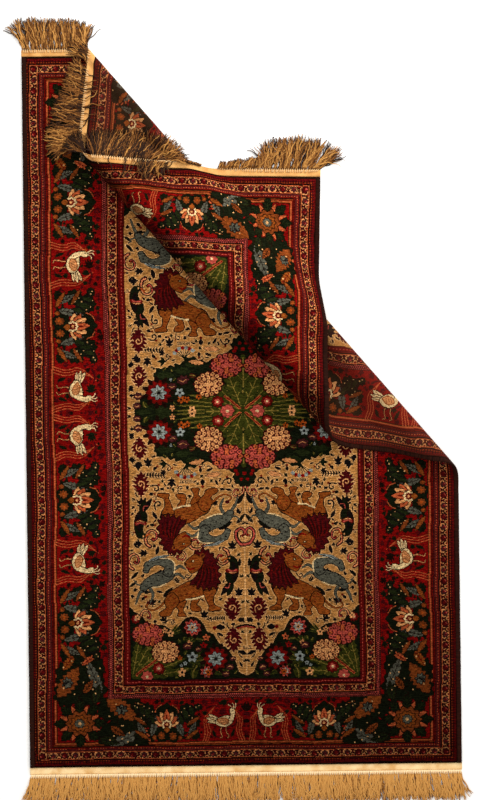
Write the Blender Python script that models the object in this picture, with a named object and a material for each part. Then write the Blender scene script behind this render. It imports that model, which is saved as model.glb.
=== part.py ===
"""Hand-knotted Persian rug with fringed ends, its upper right corner turned over and back again.

Every piece is first made flat, in the rug's own sheet: U across from the left edge, V up from
the foot of the pile, W out of the middle of the sheet on the pile side. It is cut along the
fold's own lines, and then each of its points is carried to its folded place by one function.
Metres, +Z up, +Y along the rug, the floor at Z = 0. The part's box stands on the origin.
"""
import math

import bmesh
import bpy
from mathutils import Matrix, Vector

MM = 0.001

# The sheet
RUG_WIDTH = 1.350            # over both selvedges
PILE_LENGTH = 2.220          # the knotted part, between the flat-woven ends
PILE_THICK = 9.0 * MM        # ground weave and pile together
KILIM_LENGTH = 22.0 * MM     # flat-woven end beyond the pile
KILIM_THICK = 3.0 * MM       # it lies flush with the rug's back
SELVEDGE_WIDTH = 16.0 * MM   # overcast cord along each side
SELVEDGE_ROUND = 3.2 * MM
SEAM = 0.3 * MM              # left between pieces that touch
FRINGE_SEAM = 0.5 * MM

# The fold: two lines across the corner, square to FOLD_WAY. At the first the sheet turns up and
# back, face down; at the second it turns up and forward again, face up, and drops to the floor.
FOLD_WAY = math.radians(40.6)        # from +X to the way across the fold, towards the corner
FOLD_1_AT = 1.6194                   # outermost point of the first bend, across the fold
FOLD_2_AT = 1.3835                   # outermost point of the second
DROP_AT = 1.650                      # middle of the drop to the floor
ALONG_UPPER = -1.45                  # places along the fold for which the radii are given
ALONG_LOWER = -0.10
BEND_1_RADIUS = (10.5 * MM, 27.5 * MM)    # at the middle of the sheet, upper and lower place
BEND_2_RADIUS = (37.0 * MM, 47.0 * MM)
BEND_1_DIP = math.radians(33.0)      # slope by which the sheet comes down behind each bend
BEND_2_DIP = math.radians(23.0)
DIP_1_EASE = 40.0 * MM               # radius that takes the slope out again
DIP_2_EASE = 70.0 * MM
DROP_SLOPE = math.radians(76.0)
DROP_RADIUS = 13.0 * MM
LAYER_GAP = 2.0 * MM                 # between one layer and the next
SKEW = 20.0 * MM                     # the turned corner has slid this far along the fold
SKEW_SPAN = 0.55                     # of cloth over which it has slid
FACETS = {"bend 1": 10, "ease 1": 2, "bend 2": 11, "ease 2": 3, "drop top": 4, "drop foot": 4}
CROSS_CUTS = 7                       # across the folds, so that no facet is a long sliver

# The fringe: locks of warp yarn, tied to a narrow row of knots beyond the flat-woven end
KNOT_ROW = 6.0 * MM
LOCK_WIDTH = 7.5 * MM
LOCK_TIP = (0.45, 0.6)               # share of its width and height left at a lock's tip
LOCK_STEPS = 4
LOCK_REST = 1.0 * MM                 # kept above the cloth that a lock lies on
LOCK_FALL = (0.10, 0.55, 0.75, 0.75)     # fall of each step, as a share of the step's length
WAVE = 2.5 * MM                      # sideways wave of the locks, the same for neighbours
WAVE_LENGTH = 70.0 * MM

# Each stretch: the end it hangs from, its first and last place across the sheet, its locks,
# and a table of place in the stretch, length and lean to the right in degrees.
FRINGES = {
    "fringe_bottom": ("foot", 0.003, 1.347, 96,
                      ((0.00, 96, 9), (0.08, 94, 3), (0.50, 96, 0), (0.92, 94, -4), (1.00, 96, -10))),
    "fringe_top_flat": ("head", 0.003, 0.182, 13,
                        ((0.00, 108, -24), (0.30, 104, -17), (0.70, 108, -10), (1.00, 104, -3))),
    "fringe_top_turned": ("head", 0.330, 0.500, 13,
                          ((0.00, 118, 4), (0.50, 122, -8), (1.00, 116, -16))),
    "fringe_top_raised": ("head", 0.640, 0.914, 21,
                          ((0.00, 112, 6), (0.30, 112, 14), (0.75, 104, 20), (1.00, 80, 24))),
    "fringe_top_corner": ("head", 1.045, 1.347, 23,
                          ((0.00, 34, 26), (0.30, 44, 22), (0.48, 102, 6), (0.80, 108, 16),
                           (1.00, 98, 40))),
}

PILE_RED = (0.235, 0.030, 0.022, 1.0)
OVERCAST_NAVY = (0.012, 0.010, 0.016, 1.0)
KILIM_CREAM = (0.760, 0.560, 0.300, 1.0)
FRINGE_TAN = (0.500, 0.310, 0.110, 1.0)

ACROSS = Vector((math.cos(FOLD_WAY), math.sin(FOLD_WAY)))
ALONG = Vector((math.sin(FOLD_WAY), -math.cos(FOLD_WAY)))
HALF = PILE_THICK / 2
MIDDLE_HEIGHT = PILE_THICK + LAYER_GAP + HALF


def between(low, high, share):
    """The value that lies share of the way from low to high."""
    return low + (high - low) * share


def from_table(rows, place, column):
    """Read one column of a table by its first column, in straight lines between rows."""
    for low, high in zip(rows, rows[1:]):
        if place <= high[0]:
            return between(low[column], high[column], (place - low[0]) / (high[0] - low[0]))
    return rows[-1][column]


# ---------------------------------------------------------------- the fold's section

def slope_run(fall, slope, radii):
    """Straight length that, with an arc at either end, brings a slope down by fall."""
    return (fall - radii * (1 - math.cos(slope))) / math.sin(slope)


def fold_rows(along):
    """Rows of the section at one place along the fold: name, length, turn in radians."""
    share = (along - ALONG_UPPER) / (ALONG_LOWER - ALONG_UPPER)
    bend_1 = between(*BEND_1_RADIUS, share)
    bend_2 = between(*BEND_2_RADIUS, share)
    top_height = 2 * bend_1 + PILE_THICK + LAYER_GAP + HALF
    start = FOLD_1_AT - HALF - bend_1
    dip_1 = slope_run(HALF + 2 * bend_1 - MIDDLE_HEIGHT, BEND_1_DIP, bend_1 + DIP_1_EASE)
    back_to = FOLD_2_AT + HALF + bend_2
    at = start - (bend_1 + DIP_1_EASE) * math.sin(BEND_1_DIP) - dip_1 * math.cos(BEND_1_DIP)
    dip_2 = slope_run(MIDDLE_HEIGHT + 2 * bend_2 - top_height, BEND_2_DIP, bend_2 + DIP_2_EASE)
    over = back_to + (bend_2 + DIP_2_EASE) * math.sin(BEND_2_DIP) + dip_2 * math.cos(BEND_2_DIP)
    fall = slope_run(top_height - HALF, DROP_SLOPE, 2 * DROP_RADIUS)
    drop_half = DROP_RADIUS * math.sin(DROP_SLOPE) + fall * math.cos(DROP_SLOPE) / 2
    return (
        ("base", start, 0.0),
        ("bend 1", bend_1 * (math.pi + BEND_1_DIP), math.pi + BEND_1_DIP),
        ("dip 1", dip_1, 0.0),
        ("ease 1", DIP_1_EASE * BEND_1_DIP, -BEND_1_DIP),
        ("middle", at - back_to, 0.0),
        ("bend 2", bend_2 * (math.pi + BEND_2_DIP), -math.pi - BEND_2_DIP),
        ("dip 2", dip_2, 0.0),
        ("ease 2", DIP_2_EASE * BEND_2_DIP, BEND_2_DIP),
        ("top", DROP_AT - drop_half - over, 0.0),
        ("drop top", DROP_RADIUS * DROP_SLOPE, -DROP_SLOPE),
        ("drop", fall, 0.0),
        ("drop foot", DROP_RADIUS * DROP_SLOPE, DROP_SLOPE),
        ("floor", 2.0, 0.0),
    )


def walk(rows, distance):
    """Follow the section for a distance from its start: place across, height and heading."""
    place, height, heading = 0.0, HALF, 0.0
    for _, length, turn in rows:
        step = min(distance, length)
        if turn:
            radius = length / turn
            end = heading + step / radius
            place += radius * (math.sin(end) - math.sin(heading))
            height += radius * (math.cos(heading) - math.cos(end))
            heading = end
        else:
            place += step * math.cos(heading)
            height += step * math.sin(heading)
        distance -= step
        if distance <= 0:
            break
    return place, height, heading


def fold_point(flat):
    """Carry a point of the flat sheet (U, V, W) to its folded place."""
    across = ACROSS.dot(flat.xy)
    along = ALONG.dot(flat.xy)
    if across <= 0:
        return Vector((flat.x, flat.y, flat.z + HALF))
    place, height, heading = walk(fold_rows(along), across)
    slid = along + SKEW * min(max((across - FOLD_1_AT) / SKEW_SPAN, 0.0), 1.0)
    spot = ACROSS * (place - flat.z * math.sin(heading)) + ALONG * slid
    return Vector((spot.x, spot.y, height + flat.z * math.cos(heading)))


def row_ends(along):
    """Distances at which the section is cut: each row's end, and the facets of each bend."""
    at = 0.0
    cuts = []
    for name, length, _ in fold_rows(along)[:-1]:
        facets = FACETS.get(name, 1)
        cuts += [at + length * k / facets for k in range(1, facets + 1)]
        at += length
    return cuts


# ---------------------------------------------------------------- flat pieces

def flat_box(low, high):
    """A box of the flat sheet between two corners."""
    bm = bmesh.new()
    size = Vector(high) - Vector(low)
    middle = (Vector(high) + Vector(low)) / 2
    place = Matrix.Translation(middle) @ Matrix.Diagonal((*size, 1.0))
    bmesh.ops.create_cube(bm, size=1.0, matrix=place)
    return bm


def cut(bm, point, normal):
    """Cut every face along a plane and keep both sides."""
    geometry = bm.verts[:] + bm.edges[:] + bm.faces[:]
    bmesh.ops.bisect_plane(bm, geom=geometry, plane_co=point, plane_no=normal, dist=1e-6)


def cut_at_folds(bm):
    """Cut a flat piece along every line of the fold, and a few times across them."""
    for upper, lower in zip(row_ends(ALONG_UPPER), row_ends(ALONG_LOWER)):
        start = ACROSS * upper + ALONG * ALONG_UPPER
        end = ACROSS * lower + ALONG * ALONG_LOWER
        way = end - start
        cut(bm, (*start, 0.0), (way.y, -way.x, 0.0))
    for k in range(1, CROSS_CUTS + 1):
        at = between(ALONG_UPPER, ALONG_LOWER, k / (CROSS_CUTS + 1))
        cut(bm, (*(ALONG * at), 0.0), (*ALONG, 0.0))


def split_rim(bm):
    """Split each face of the rim by one rule, so that neighbours bend side by side."""
    rim = [face for face in bm.faces if abs(face.normal.z) < 0.5 and len(face.verts) == 4]
    for face in rim:
        order = sorted(face.verts, key=lambda vert: ACROSS.dot(vert.co.xy) + vert.co.z)
        bmesh.utils.face_split(face, order[0], order[-1])


def fold(bm):
    """Fold a flat piece, point by point."""
    for vert in bm.verts:
        vert.co = fold_point(vert.co)


def finish(name, bm, colour, roughness):
    """Make a named object with its own material from a finished mesh."""
    bmesh.ops.recalc_face_normals(bm, faces=bm.faces[:])
    mesh = bpy.data.meshes.new(name)
    bm.to_mesh(mesh)
    bm.free()
    piece = bpy.data.objects.new(name, mesh)
    RUG.objects.link(piece)
    material = bpy.data.materials.new(name)
    material.use_nodes = True
    shader = material.node_tree.nodes["Principled BSDF"]
    shader.inputs["Base Color"].default_value = colour
    shader.inputs["Roughness"].default_value = roughness
    shader.inputs["Metallic"].default_value = 0.0
    mesh.materials.append(material)
    return piece


# ---------------------------------------------------------------- the pieces

def make_pile():
    """The knotted sheet: one piece from side to side and from end to end."""
    side = SELVEDGE_WIDTH + SEAM
    bm = flat_box((side, 0.0, -HALF), (RUG_WIDTH - side, PILE_LENGTH, HALF))
    cut(bm, (0.0, 0.0, KILIM_THICK - HALF), (0.0, 0.0, 1.0))
    cut_at_folds(bm)
    split_rim(bm)
    fold(bm)
    return finish("rug_pile", bm, PILE_RED, 0.95)


def make_selvedge(name, left):
    """Cord overcast with dark wool along one side, from end to end of the pile."""
    bm = flat_box((left, 0.0, -HALF), (left + SELVEDGE_WIDTH, PILE_LENGTH, HALF))
    outer = 0.0 if left < RUG_WIDTH / 2 else RUG_WIDTH
    corners = [edge for edge in bm.edges
               if all(abs(vert.co.x - outer) < SEAM for vert in edge.verts)
               and abs(edge.verts[0].co.y - edge.verts[1].co.y) > SEAM]
    bmesh.ops.bevel(bm, geom=corners, offset=SELVEDGE_ROUND, segments=2, profile=0.5,
                    affect="EDGES")
    cut(bm, (0.0, 0.0, KILIM_THICK - HALF), (0.0, 0.0, 1.0))
    cut_at_folds(bm)
    split_rim(bm)
    fold(bm)
    return finish(name, bm, OVERCAST_NAVY, 0.9)


def make_kilim(name, start):
    """Flat-woven end, thin and flush with the back."""
    bm = flat_box((0.0, start, -HALF), (RUG_WIDTH, start + KILIM_LENGTH - SEAM, KILIM_THICK - HALF))
    cut_at_folds(bm)
    split_rim(bm)
    fold(bm)
    return finish(name, bm, KILIM_CREAM, 0.9)


def support_height(spot):
    """Highest surface of the folded sheet under a spot of the floor plan."""
    across = ACROSS.dot(spot)
    slid = ALONG.dot(spot)
    top = 0.0
    samples = 520
    farthest = 2.55
    for k in range(samples + 1):
        distance = farthest * k / samples
        along = slid - SKEW * min(max((distance - FOLD_1_AT) / SKEW_SPAN, 0.0), 1.0)
        flat = ACROSS * distance + ALONG * along
        if not (0 <= flat.x <= RUG_WIDTH and -KILIM_LENGTH <= flat.y <= PILE_LENGTH + KILIM_LENGTH):
            continue
        place, height, heading = walk(fold_rows(along), distance)
        for face in (HALF, -HALF):
            if abs(place - face * math.sin(heading) - across) < farthest / samples:
                top = max(top, height + face * math.cos(heading))
    return top


def lowest_end(spot, stride):
    """Lowest height at the end of a stride that keeps the whole of it clear of what is below."""
    lowest = KILIM_THICK / 2
    side = Vector((stride.y, -stride.x)).normalized() * LOCK_WIDTH / 2
    for reach in (0.2, 0.4, 0.6, 0.8, 1.0):
        for aside in (-side, 0 * side, side):
            clear = support_height(spot.xy + stride * reach + aside) + LOCK_REST + KILIM_THICK / 2
            lowest = max(lowest, spot.z + (clear - spot.z) / reach)
    return lowest


def lock_path(root, way, length, lean, place):
    """Points of a lock: out from its root, down as far as what lies below, and on along it."""
    turned = Matrix.Rotation(-math.radians(lean), 2) @ way
    side = Vector((turned.y, -turned.x))
    step = length / LOCK_STEPS
    spot = root.copy()
    points = []
    for k, share in enumerate(LOCK_FALL, start=1):
        lowest = root.z
        if root.z > KILIM_THICK:
            lowest = lowest_end(spot, turned * step)
        height = max(lowest, spot.z - step * share)
        reach = math.sqrt(max(step ** 2 - (height - spot.z) ** 2, 0.0))
        sway = math.sin(math.tau * (k * step / WAVE_LENGTH + place))
        flat = spot.xy + turned * reach + side * WAVE * sway * k / LOCK_STEPS
        spot = Vector((flat.x, flat.y, height))
        points.append(spot.copy())
    return points


def grow_lock(bm, face, points):
    """Draw one root face out along the points, thinner at each step; it keeps its lowest line."""
    for k, point in enumerate(points, start=1):
        face = bmesh.ops.extrude_discrete_faces(bm, faces=[face])["faces"][0]
        middle = face.calc_center_median()
        wide, high = (between(1.0, tip, k / LOCK_STEPS) / between(1.0, tip, (k - 1) / LOCK_STEPS)
                      for tip in LOCK_TIP)
        lowest = min(vert.co.z for vert in face.verts)
        rise = point.z - middle.z
        for vert in face.verts:
            vert.co.x = point.x + (vert.co.x - middle.x) * wide
            vert.co.y = point.y + (vert.co.y - middle.y) * wide
            vert.co.z = lowest + rise + (vert.co.z - lowest) * high


def make_fringe(name, end, first, last, locks, rows):
    """A narrow row of knots with its locks of warp yarn, all one piece."""
    out = 1.0 if end == "head" else -1.0
    edge = PILE_LENGTH + KILIM_LENGTH if end == "head" else -KILIM_LENGTH
    start = edge + out * FRINGE_SEAM
    sides = sorted((start, start + out * KNOT_ROW))
    bm = flat_box((first, sides[0], -HALF), (last, sides[1], KILIM_THICK - HALF))
    pitch = (last - first) / locks
    middles = [first + pitch * (k + 0.5) for k in range(locks)]
    for middle in middles:
        for edge_at in (middle - LOCK_WIDTH / 2, middle + LOCK_WIDTH / 2):
            cut(bm, (edge_at, 0.0, 0.0), (1.0, 0.0, 0.0))
    roots = []
    for face in bm.faces:
        at = face.calc_center_median()
        near = min(middles, key=lambda middle: abs(middle - at.x))
        if face.normal.y * out > 0.5 and abs(near - at.x) < LOCK_WIDTH / 4:
            ahead = fold_point(Vector((near, at.y + out * SEAM, at.z))) - fold_point(at)
            roots.append((face, near, ahead.xy.normalized()))
    fold(bm)
    for face, near, way in roots:
        place = (near - first) / (last - first)
        length = from_table(rows, place, 1) * MM
        lean = from_table(rows, place, 2)
        root = face.calc_center_median()
        grow_lock(bm, face, lock_path(root, way, length, lean, place))
    return finish(name, bm, FRINGE_TAN, 0.85)


def centre_on_floor(pieces):
    """Slide all the pieces so that the middle of their common box is over the origin."""
    spots = [vert.co for piece in pieces for vert in piece.data.vertices]
    middle = [(min(spot[axis] for spot in spots) + max(spot[axis] for spot in spots)) / 2
              for axis in (0, 1)]
    lowest = min(spot.z for spot in spots)
    for piece in pieces:
        piece.data.transform(Matrix.Translation((-middle[0], -middle[1], -lowest)))


for old in list(bpy.data.objects):
    bpy.data.objects.remove(old, do_unlink=True)
RUG = bpy.data.collections.new("persian_rug")
bpy.context.scene.collection.children.link(RUG)

pieces = [
    make_pile(),
    make_selvedge("selvedge_left", 0.0),
    make_selvedge("selvedge_right", RUG_WIDTH - SELVEDGE_WIDTH),
    make_kilim("kilim_bottom", -KILIM_LENGTH),
    make_kilim("kilim_top", PILE_LENGTH + SEAM),
]
pieces += [make_fringe(name, *row) for name, row in FRINGES.items()]
centre_on_floor(pieces)
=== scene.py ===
# %% [markdown]
# # A hand-knotted wool rug, one corner turned back on itself
#
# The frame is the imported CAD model: ten plain solids that already lie in the fold. Here each of
# them is replaced by a finer piece: the knotted cloth with its design, the overcast side cords,
# the flat-woven ends and the warp fringes. Everything is in metres, and the design in millimetres.

# %% Load the frame
import math

import bpy
import numpy as np
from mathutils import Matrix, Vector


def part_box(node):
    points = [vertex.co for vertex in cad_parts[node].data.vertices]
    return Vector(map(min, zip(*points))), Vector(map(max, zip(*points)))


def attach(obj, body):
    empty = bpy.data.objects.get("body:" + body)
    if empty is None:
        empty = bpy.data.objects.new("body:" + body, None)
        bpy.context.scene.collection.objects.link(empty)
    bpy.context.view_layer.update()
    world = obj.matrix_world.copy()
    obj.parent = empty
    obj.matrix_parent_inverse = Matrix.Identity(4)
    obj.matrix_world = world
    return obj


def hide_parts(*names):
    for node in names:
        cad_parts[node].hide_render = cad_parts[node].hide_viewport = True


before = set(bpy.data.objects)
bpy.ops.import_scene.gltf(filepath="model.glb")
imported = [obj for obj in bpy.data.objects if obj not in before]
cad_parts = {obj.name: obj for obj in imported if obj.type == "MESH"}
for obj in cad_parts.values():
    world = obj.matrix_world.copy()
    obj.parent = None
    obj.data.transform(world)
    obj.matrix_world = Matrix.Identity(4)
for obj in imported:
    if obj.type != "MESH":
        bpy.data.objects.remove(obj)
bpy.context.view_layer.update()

# %% [markdown]
# ## Camera
#
# The rug was photographed from straight above. A long lens far up keeps the fold from swelling
# towards the viewer, so the camera hangs 5.9 m over the middle of the picture, looks straight
# down, and is turned by less than a degree, because the rug lies a little askew in the picture.

# %% Camera
EYE_HEIGHT = 5.9
PICTURE_MIDDLE = (0.0139, 0.0251)
PICTURE_TURN = -0.0122
PICTURE_LONG_SIDE = 2.5          # metres of floor along the picture's long side
SENSOR = 36.0

camera = bpy.data.objects.new("camera", bpy.data.cameras.new("camera"))
camera.location = (*PICTURE_MIDDLE, EYE_HEIGHT)
camera.rotation_euler = (0.0, 0.0, PICTURE_TURN)
camera.data.sensor_width = SENSOR
camera.data.lens = SENSOR * EYE_HEIGHT / PICTURE_LONG_SIDE
bpy.context.scene.collection.objects.link(camera)
bpy.context.scene.camera = camera
print("lens", round(camera.data.lens, 1), "mm")

# %% [markdown]
# ## Colours and nodes
#
# Blender's sockets take linear colour, while dyes are easier to name as the hex values of a
# colour picker. One function turns the one into the other. Another adds a shader node with its
# settings and links, and short ones build on it for the steps that every material here has, so
# that a material reads as a list of what the cloth does to light.


# %% Helpers for colours and nodes
def linear(hex_colour):
    """RGBA in linear light: (s + 0.055) / 1.055 to the power 2.4, or s / 12.92 near black."""
    parts = np.array([int(hex_colour[k:k + 2], 16) for k in (0, 2, 4)]) / 255
    light = np.where(parts <= 0.04045, parts / 12.92, ((parts + 0.055) / 1.055) ** 2.4)
    return (*light.tolist(), 1.0)


def add(tree, kind, inputs=None, **settings):
    """Adds a node: settings are its properties, inputs are values, or outputs linked to it."""
    made = tree.nodes.new("ShaderNode" + kind)
    for name, value in settings.items():
        setattr(made, name, value)
    for name, value in (inputs or {}).items():
        if isinstance(value, bpy.types.NodeSocket):
            tree.links.new(value, made.inputs[name])
        else:
            made.inputs[name].default_value = value
    return made


def new_material(name):
    """An empty material and its node tree."""
    material = bpy.data.materials.new(name)
    material.use_nodes = True
    material.node_tree.nodes.clear()
    return material, material.node_tree


def calc(tree, operation, *values):
    """The result of one step of arithmetic."""
    return add(tree, "Math", dict(enumerate(values)), operation=operation).outputs[0]


def ranged(tree, value, low, high, to_low, to_high, **settings):
    """A value's way from low to high, as the same share of the way from to_low to to_high."""
    sizes = {"Value": value, 1: low, 2: high, 3: to_low, 4: to_high}
    return add(tree, "MapRange", sizes, **settings).outputs[0]


def clouds(tree, place, stretch, scale, detail):
    """Noise with its own scale along each axis."""
    stretched = add(tree, "Mapping", {"Vector": place, "Scale": stretch}).outputs[0]
    return add(tree, "TexNoise", {"Vector": stretched, "Scale": scale, "Detail": detail}).outputs[0]


def two_tones(tree, value, stops):
    """A colour ramp between two stops, each a place and a hex colour."""
    ramp = add(tree, "ValToRGB", {0: value})
    for element, (place, colour) in zip(ramp.color_ramp.elements, stops):
        element.position = place
        element.color = linear(colour)
    return ramp


def bumped(tree, height, strength, distance):
    """The normal over a height."""
    return add(tree, "Bump", {"Height": height, "Strength": strength, "Distance": distance}).outputs[0]


def finish(tree, **looks):
    """The shader and the output; an underscore in a setting's name stands for a space."""
    sockets = {name.replace("_", " "): value for name, value in looks.items()}
    shader = add(tree, "BsdfPrincipled", sockets)
    add(tree, "OutputMaterial", {"Surface": shader.outputs[0]})


# %% [markdown]
# ## Floor and light
#
# A product picture on white: a pale floor, a bright sky all round for soft shadows, and one
# large soft light from the upper right, so that the roll of the fold shades the side towards
# the lower left. The floor isn't part of the object.


# %% Floor
FLOOR_HALF = 7.0
FLOOR_LEVEL = -0.0005            # just under the rug


def make_floor():
    """A level square."""
    corners = [(-FLOOR_HALF, -FLOOR_HALF), (FLOOR_HALF, -FLOOR_HALF),
               (FLOOR_HALF, FLOOR_HALF), (-FLOOR_HALF, FLOOR_HALF)]
    mesh = bpy.data.meshes.new("floor")
    mesh.from_pydata([(x, y, FLOOR_LEVEL) for x, y in corners], [], [(0, 1, 2, 3)])
    floor = bpy.data.objects.new("floor", mesh)
    bpy.context.scene.collection.objects.link(floor)
    material, tree = new_material("matt white paper sweep")
    finish(tree, Base_Color=linear("fbfaf8"), Roughness=0.9, Specular_IOR_Level=0.1)
    mesh.materials.append(material)


make_floor()

# %% Light
LIGHTS = (  # name, place, size and power in watts
    ("upper right softbox", (1.7, 2.7, 1.9), 1.6, 105.0),
    ("top softbox", (-0.8, 1.4, 4.6), 3.0, 70.0),
)
for name, place, size, power in LIGHTS:
    light = bpy.data.objects.new(name, bpy.data.lights.new(name, "AREA"))
    light.data.size = size
    light.data.energy = power
    light.location = place
    toward = np.array(place) * -1.0
    light.rotation_euler = (math.atan2(math.hypot(toward[0], toward[1]), -toward[2]), 0.0,
                            math.atan2(toward[1], toward[0]) - math.pi / 2)
    bpy.context.scene.collection.objects.link(light)

sky = bpy.data.worlds.new("studio white")
sky.use_nodes = True
sky.node_tree.nodes["Background"].inputs[0].default_value = linear("fffdfa")
sky.node_tree.nodes["Background"].inputs[1].default_value = 0.80
bpy.context.scene.world = sky
bpy.context.scene.view_settings.view_transform = "Standard"

# %% [markdown]
# ## The fold
#
# The rug is one flat sheet that turns up and back over a line across its corner, then up and
# forward again over a second line, and drops to the floor. Across those lines its section is a
# row of straight runs and arcs, as a tailor would draw it, and the arcs are wider at one end of
# the fold than at the other. Every piece is first laid out flat, with U across the rug, V up
# it and W its height over the middle of the pile, and then each of its points is folded. The
# sizes are those of the CAD source, so that the finer pieces lie in their solids. Only the last
# slope is gentler here, because real cloth eases over the layers below it.

# %% Sizes of the rug and its fold, in metres
RUG_WIDTH = 1.350
PILE_LENGTH = 2.220
PILE_THICK = 0.009
KILIM_LENGTH = 0.022
KILIM_THICK = 0.003
SELVEDGE_WIDTH = 0.016
SEAM = 0.0003
FOLD_WAY = math.radians(40.6)        # the way across the folds, from the U axis
FOLD_1_AT = 1.6194                   # outermost place of each bend, across the folds
FOLD_2_AT = 1.3835
ALONG_UPPER = -1.45                  # where along the folds the first radii hold, then the second
ALONG_LOWER = -0.10
BEND_1_RADIUS = (0.0105, 0.0275)
BEND_2_RADIUS = (0.037, 0.047)
BEND_1_DIP = math.radians(33.0)      # how far each bend turns past level, and the ease after it
BEND_2_DIP = math.radians(23.0)
DIP_1_EASE = 0.040
DIP_2_EASE = 0.070
DROP_SLOPE = math.radians(76.0)      # the CAD model's last slope
DROP_RADIUS = 0.013
EASE_SLOPE = math.radians(36.0)      # and the cloth's
EASE_RADIUS = 0.050
LAYER_GAP = 0.002
SKEW = 0.020                         # the turned corner slides this far along the fold
SKEW_SPAN = 0.55

HALF = PILE_THICK / 2
MIDDLE_HEIGHT = PILE_THICK + LAYER_GAP + HALF
ACROSS = np.array((math.cos(FOLD_WAY), math.sin(FOLD_WAY)))
ALONG = np.array((math.sin(FOLD_WAY), -math.cos(FOLD_WAY)))
CORNER = np.array(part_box("selvedge_left")[0])       # where U and V are nought
print("flat corner at", CORNER.round(4))


# %% The section across the fold
def slope_run(fall, slope, radii):
    """Straight run of a slope with an arc at each end: (fall - radii (1 - cos)) / sin."""
    return (fall - radii * (1 - math.cos(slope))) / math.sin(slope)


BEYOND = 2.0            # a last run longer than the rug
ROLL_ROW = 5            # the second bend's row, over which the pile is on the outside
SLOPE_ROW = 9           # the last slope's first row: an arc, then a straight run and an arc


def fold_rows(along):
    """Rows of (length, turn) for each point: a bend's length is its radius times its turn."""
    share = (along - ALONG_UPPER) / (ALONG_LOWER - ALONG_UPPER)
    bend_1 = BEND_1_RADIUS[0] + (BEND_1_RADIUS[1] - BEND_1_RADIUS[0]) * share
    bend_2 = BEND_2_RADIUS[0] + (BEND_2_RADIUS[1] - BEND_2_RADIUS[0]) * share
    top_height = 2 * bend_1 + PILE_THICK + LAYER_GAP + HALF
    start = FOLD_1_AT - HALF - bend_1
    dip_1 = slope_run(HALF + 2 * bend_1 - MIDDLE_HEIGHT, BEND_1_DIP, bend_1 + DIP_1_EASE)
    back_to = FOLD_2_AT + HALF + bend_2
    at = start - (bend_1 + DIP_1_EASE) * math.sin(BEND_1_DIP) - dip_1 * math.cos(BEND_1_DIP)
    dip_2 = slope_run(MIDDLE_HEIGHT + 2 * bend_2 - top_height, BEND_2_DIP, bend_2 + DIP_2_EASE)
    over = back_to + (bend_2 + DIP_2_EASE) * math.sin(BEND_2_DIP) + dip_2 * math.cos(BEND_2_DIP)
    wrap = bend_1 + PILE_THICK + LAYER_GAP
    ease = slope_run(top_height - HALF, EASE_SLOPE, wrap + EASE_RADIUS)
    flat = np.zeros_like(along)
    return (
        (start, flat),
        (bend_1 * (math.pi + BEND_1_DIP), flat + math.pi + BEND_1_DIP),
        (dip_1, flat),
        (flat + DIP_1_EASE * BEND_1_DIP, flat - BEND_1_DIP),
        (at - back_to, flat),
        (bend_2 * (math.pi + BEND_2_DIP), flat - math.pi - BEND_2_DIP),
        (dip_2, flat),
        (flat + DIP_2_EASE * BEND_2_DIP, flat + BEND_2_DIP),
        (start - over, flat),
        (wrap * EASE_SLOPE, flat - EASE_SLOPE),
        (ease, flat),
        (flat + EASE_RADIUS * EASE_SLOPE, flat + EASE_SLOPE),
        (flat + BEYOND, flat),
    )


# %% Ease the last slope
def gathered(along, distance):
    """Distance less what the last slope takes up: both models' flat ends then lie as one.

    A slope's slack is its length less its floor: for an arc radius (angle - sin), for a straight
    run length (1 - cos). The difference of the two slacks is taken out evenly over the slope.
    """
    rows = fold_rows(along)
    before = sum(length for length, _ in rows[:SLOPE_ROW])
    first_arc, ease, last_arc = (length for length, _ in rows[SLOPE_ROW:SLOPE_ROW + 3])
    wrap = first_arc / EASE_SLOPE
    fall = slope_run(2 * wrap - PILE_THICK - LAYER_GAP, DROP_SLOPE, 2 * DROP_RADIUS)
    slack = (2 * DROP_RADIUS * (DROP_SLOPE - math.sin(DROP_SLOPE))
             + fall * (1 - math.cos(DROP_SLOPE)))
    eased = ((wrap + EASE_RADIUS) * (EASE_SLOPE - math.sin(EASE_SLOPE))
             + ease * (1 - math.cos(EASE_SLOPE)))
    span = first_arc + ease + last_arc + slack - eased
    return distance - (slack - eased) * np.clip((distance - before) / span, 0.0, 1.0)


# %% Walk the section and fold
def walk(along, distance):
    """Place across, height, heading and way past the roll's outermost point, along the section.

    Each row is walked by as much of it as the distance reaches. A straight run adds its length
    times the cosine and sine of the heading, an arc adds its radius times the change in the
    heading's sine and minus its cosine.
    """
    place = np.zeros_like(distance)
    height = np.full_like(distance, HALF)
    heading = np.zeros_like(distance)
    left = distance.copy()
    past_roll = distance.copy()
    for row, (length, turn) in enumerate(fold_rows(along)):
        done = np.clip(left, 0.0, length)
        change = turn * done / length
        bends = np.abs(turn) > 1e-9
        radius = np.where(bends, length / np.where(bends, turn, 1.0), 0.0)
        ahead = heading + change
        place += np.where(bends, radius * (np.sin(ahead) - np.sin(heading)), done * np.cos(heading))
        height += np.where(bends, radius * (np.cos(heading) - np.cos(ahead)), done * np.sin(heading))
        heading = ahead
        left -= done
        if row < ROLL_ROW:
            past_roll -= length
        if row == ROLL_ROW:
            past_roll -= length * (math.pi / 2) / (math.pi + BEND_2_DIP)
    return place, height, heading, past_roll


def fold(flat, with_roll=False):
    """Folds flat points (..., 3): W stands square to the section's heading, on its left."""
    flat = np.asarray(flat, float)
    across = flat[..., :2] @ ACROSS
    along = flat[..., :2] @ ALONG
    place, height, heading, past_roll = walk(along, gathered(along, np.maximum(across, 0.0)))
    place += np.minimum(across, 0.0)
    slid = along + SKEW * np.clip((across - FOLD_1_AT) / SKEW_SPAN, 0.0, 1.0)
    off = flat[..., 2]
    spot = np.empty_like(flat)
    spot[..., :2] = (place - off * np.sin(heading))[..., None] * ACROSS + slid[..., None] * ALONG
    spot[..., 2] = height + off * np.cos(heading)
    spot[..., :2] += CORNER[:2]
    return (spot, past_roll) if with_roll else spot


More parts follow.
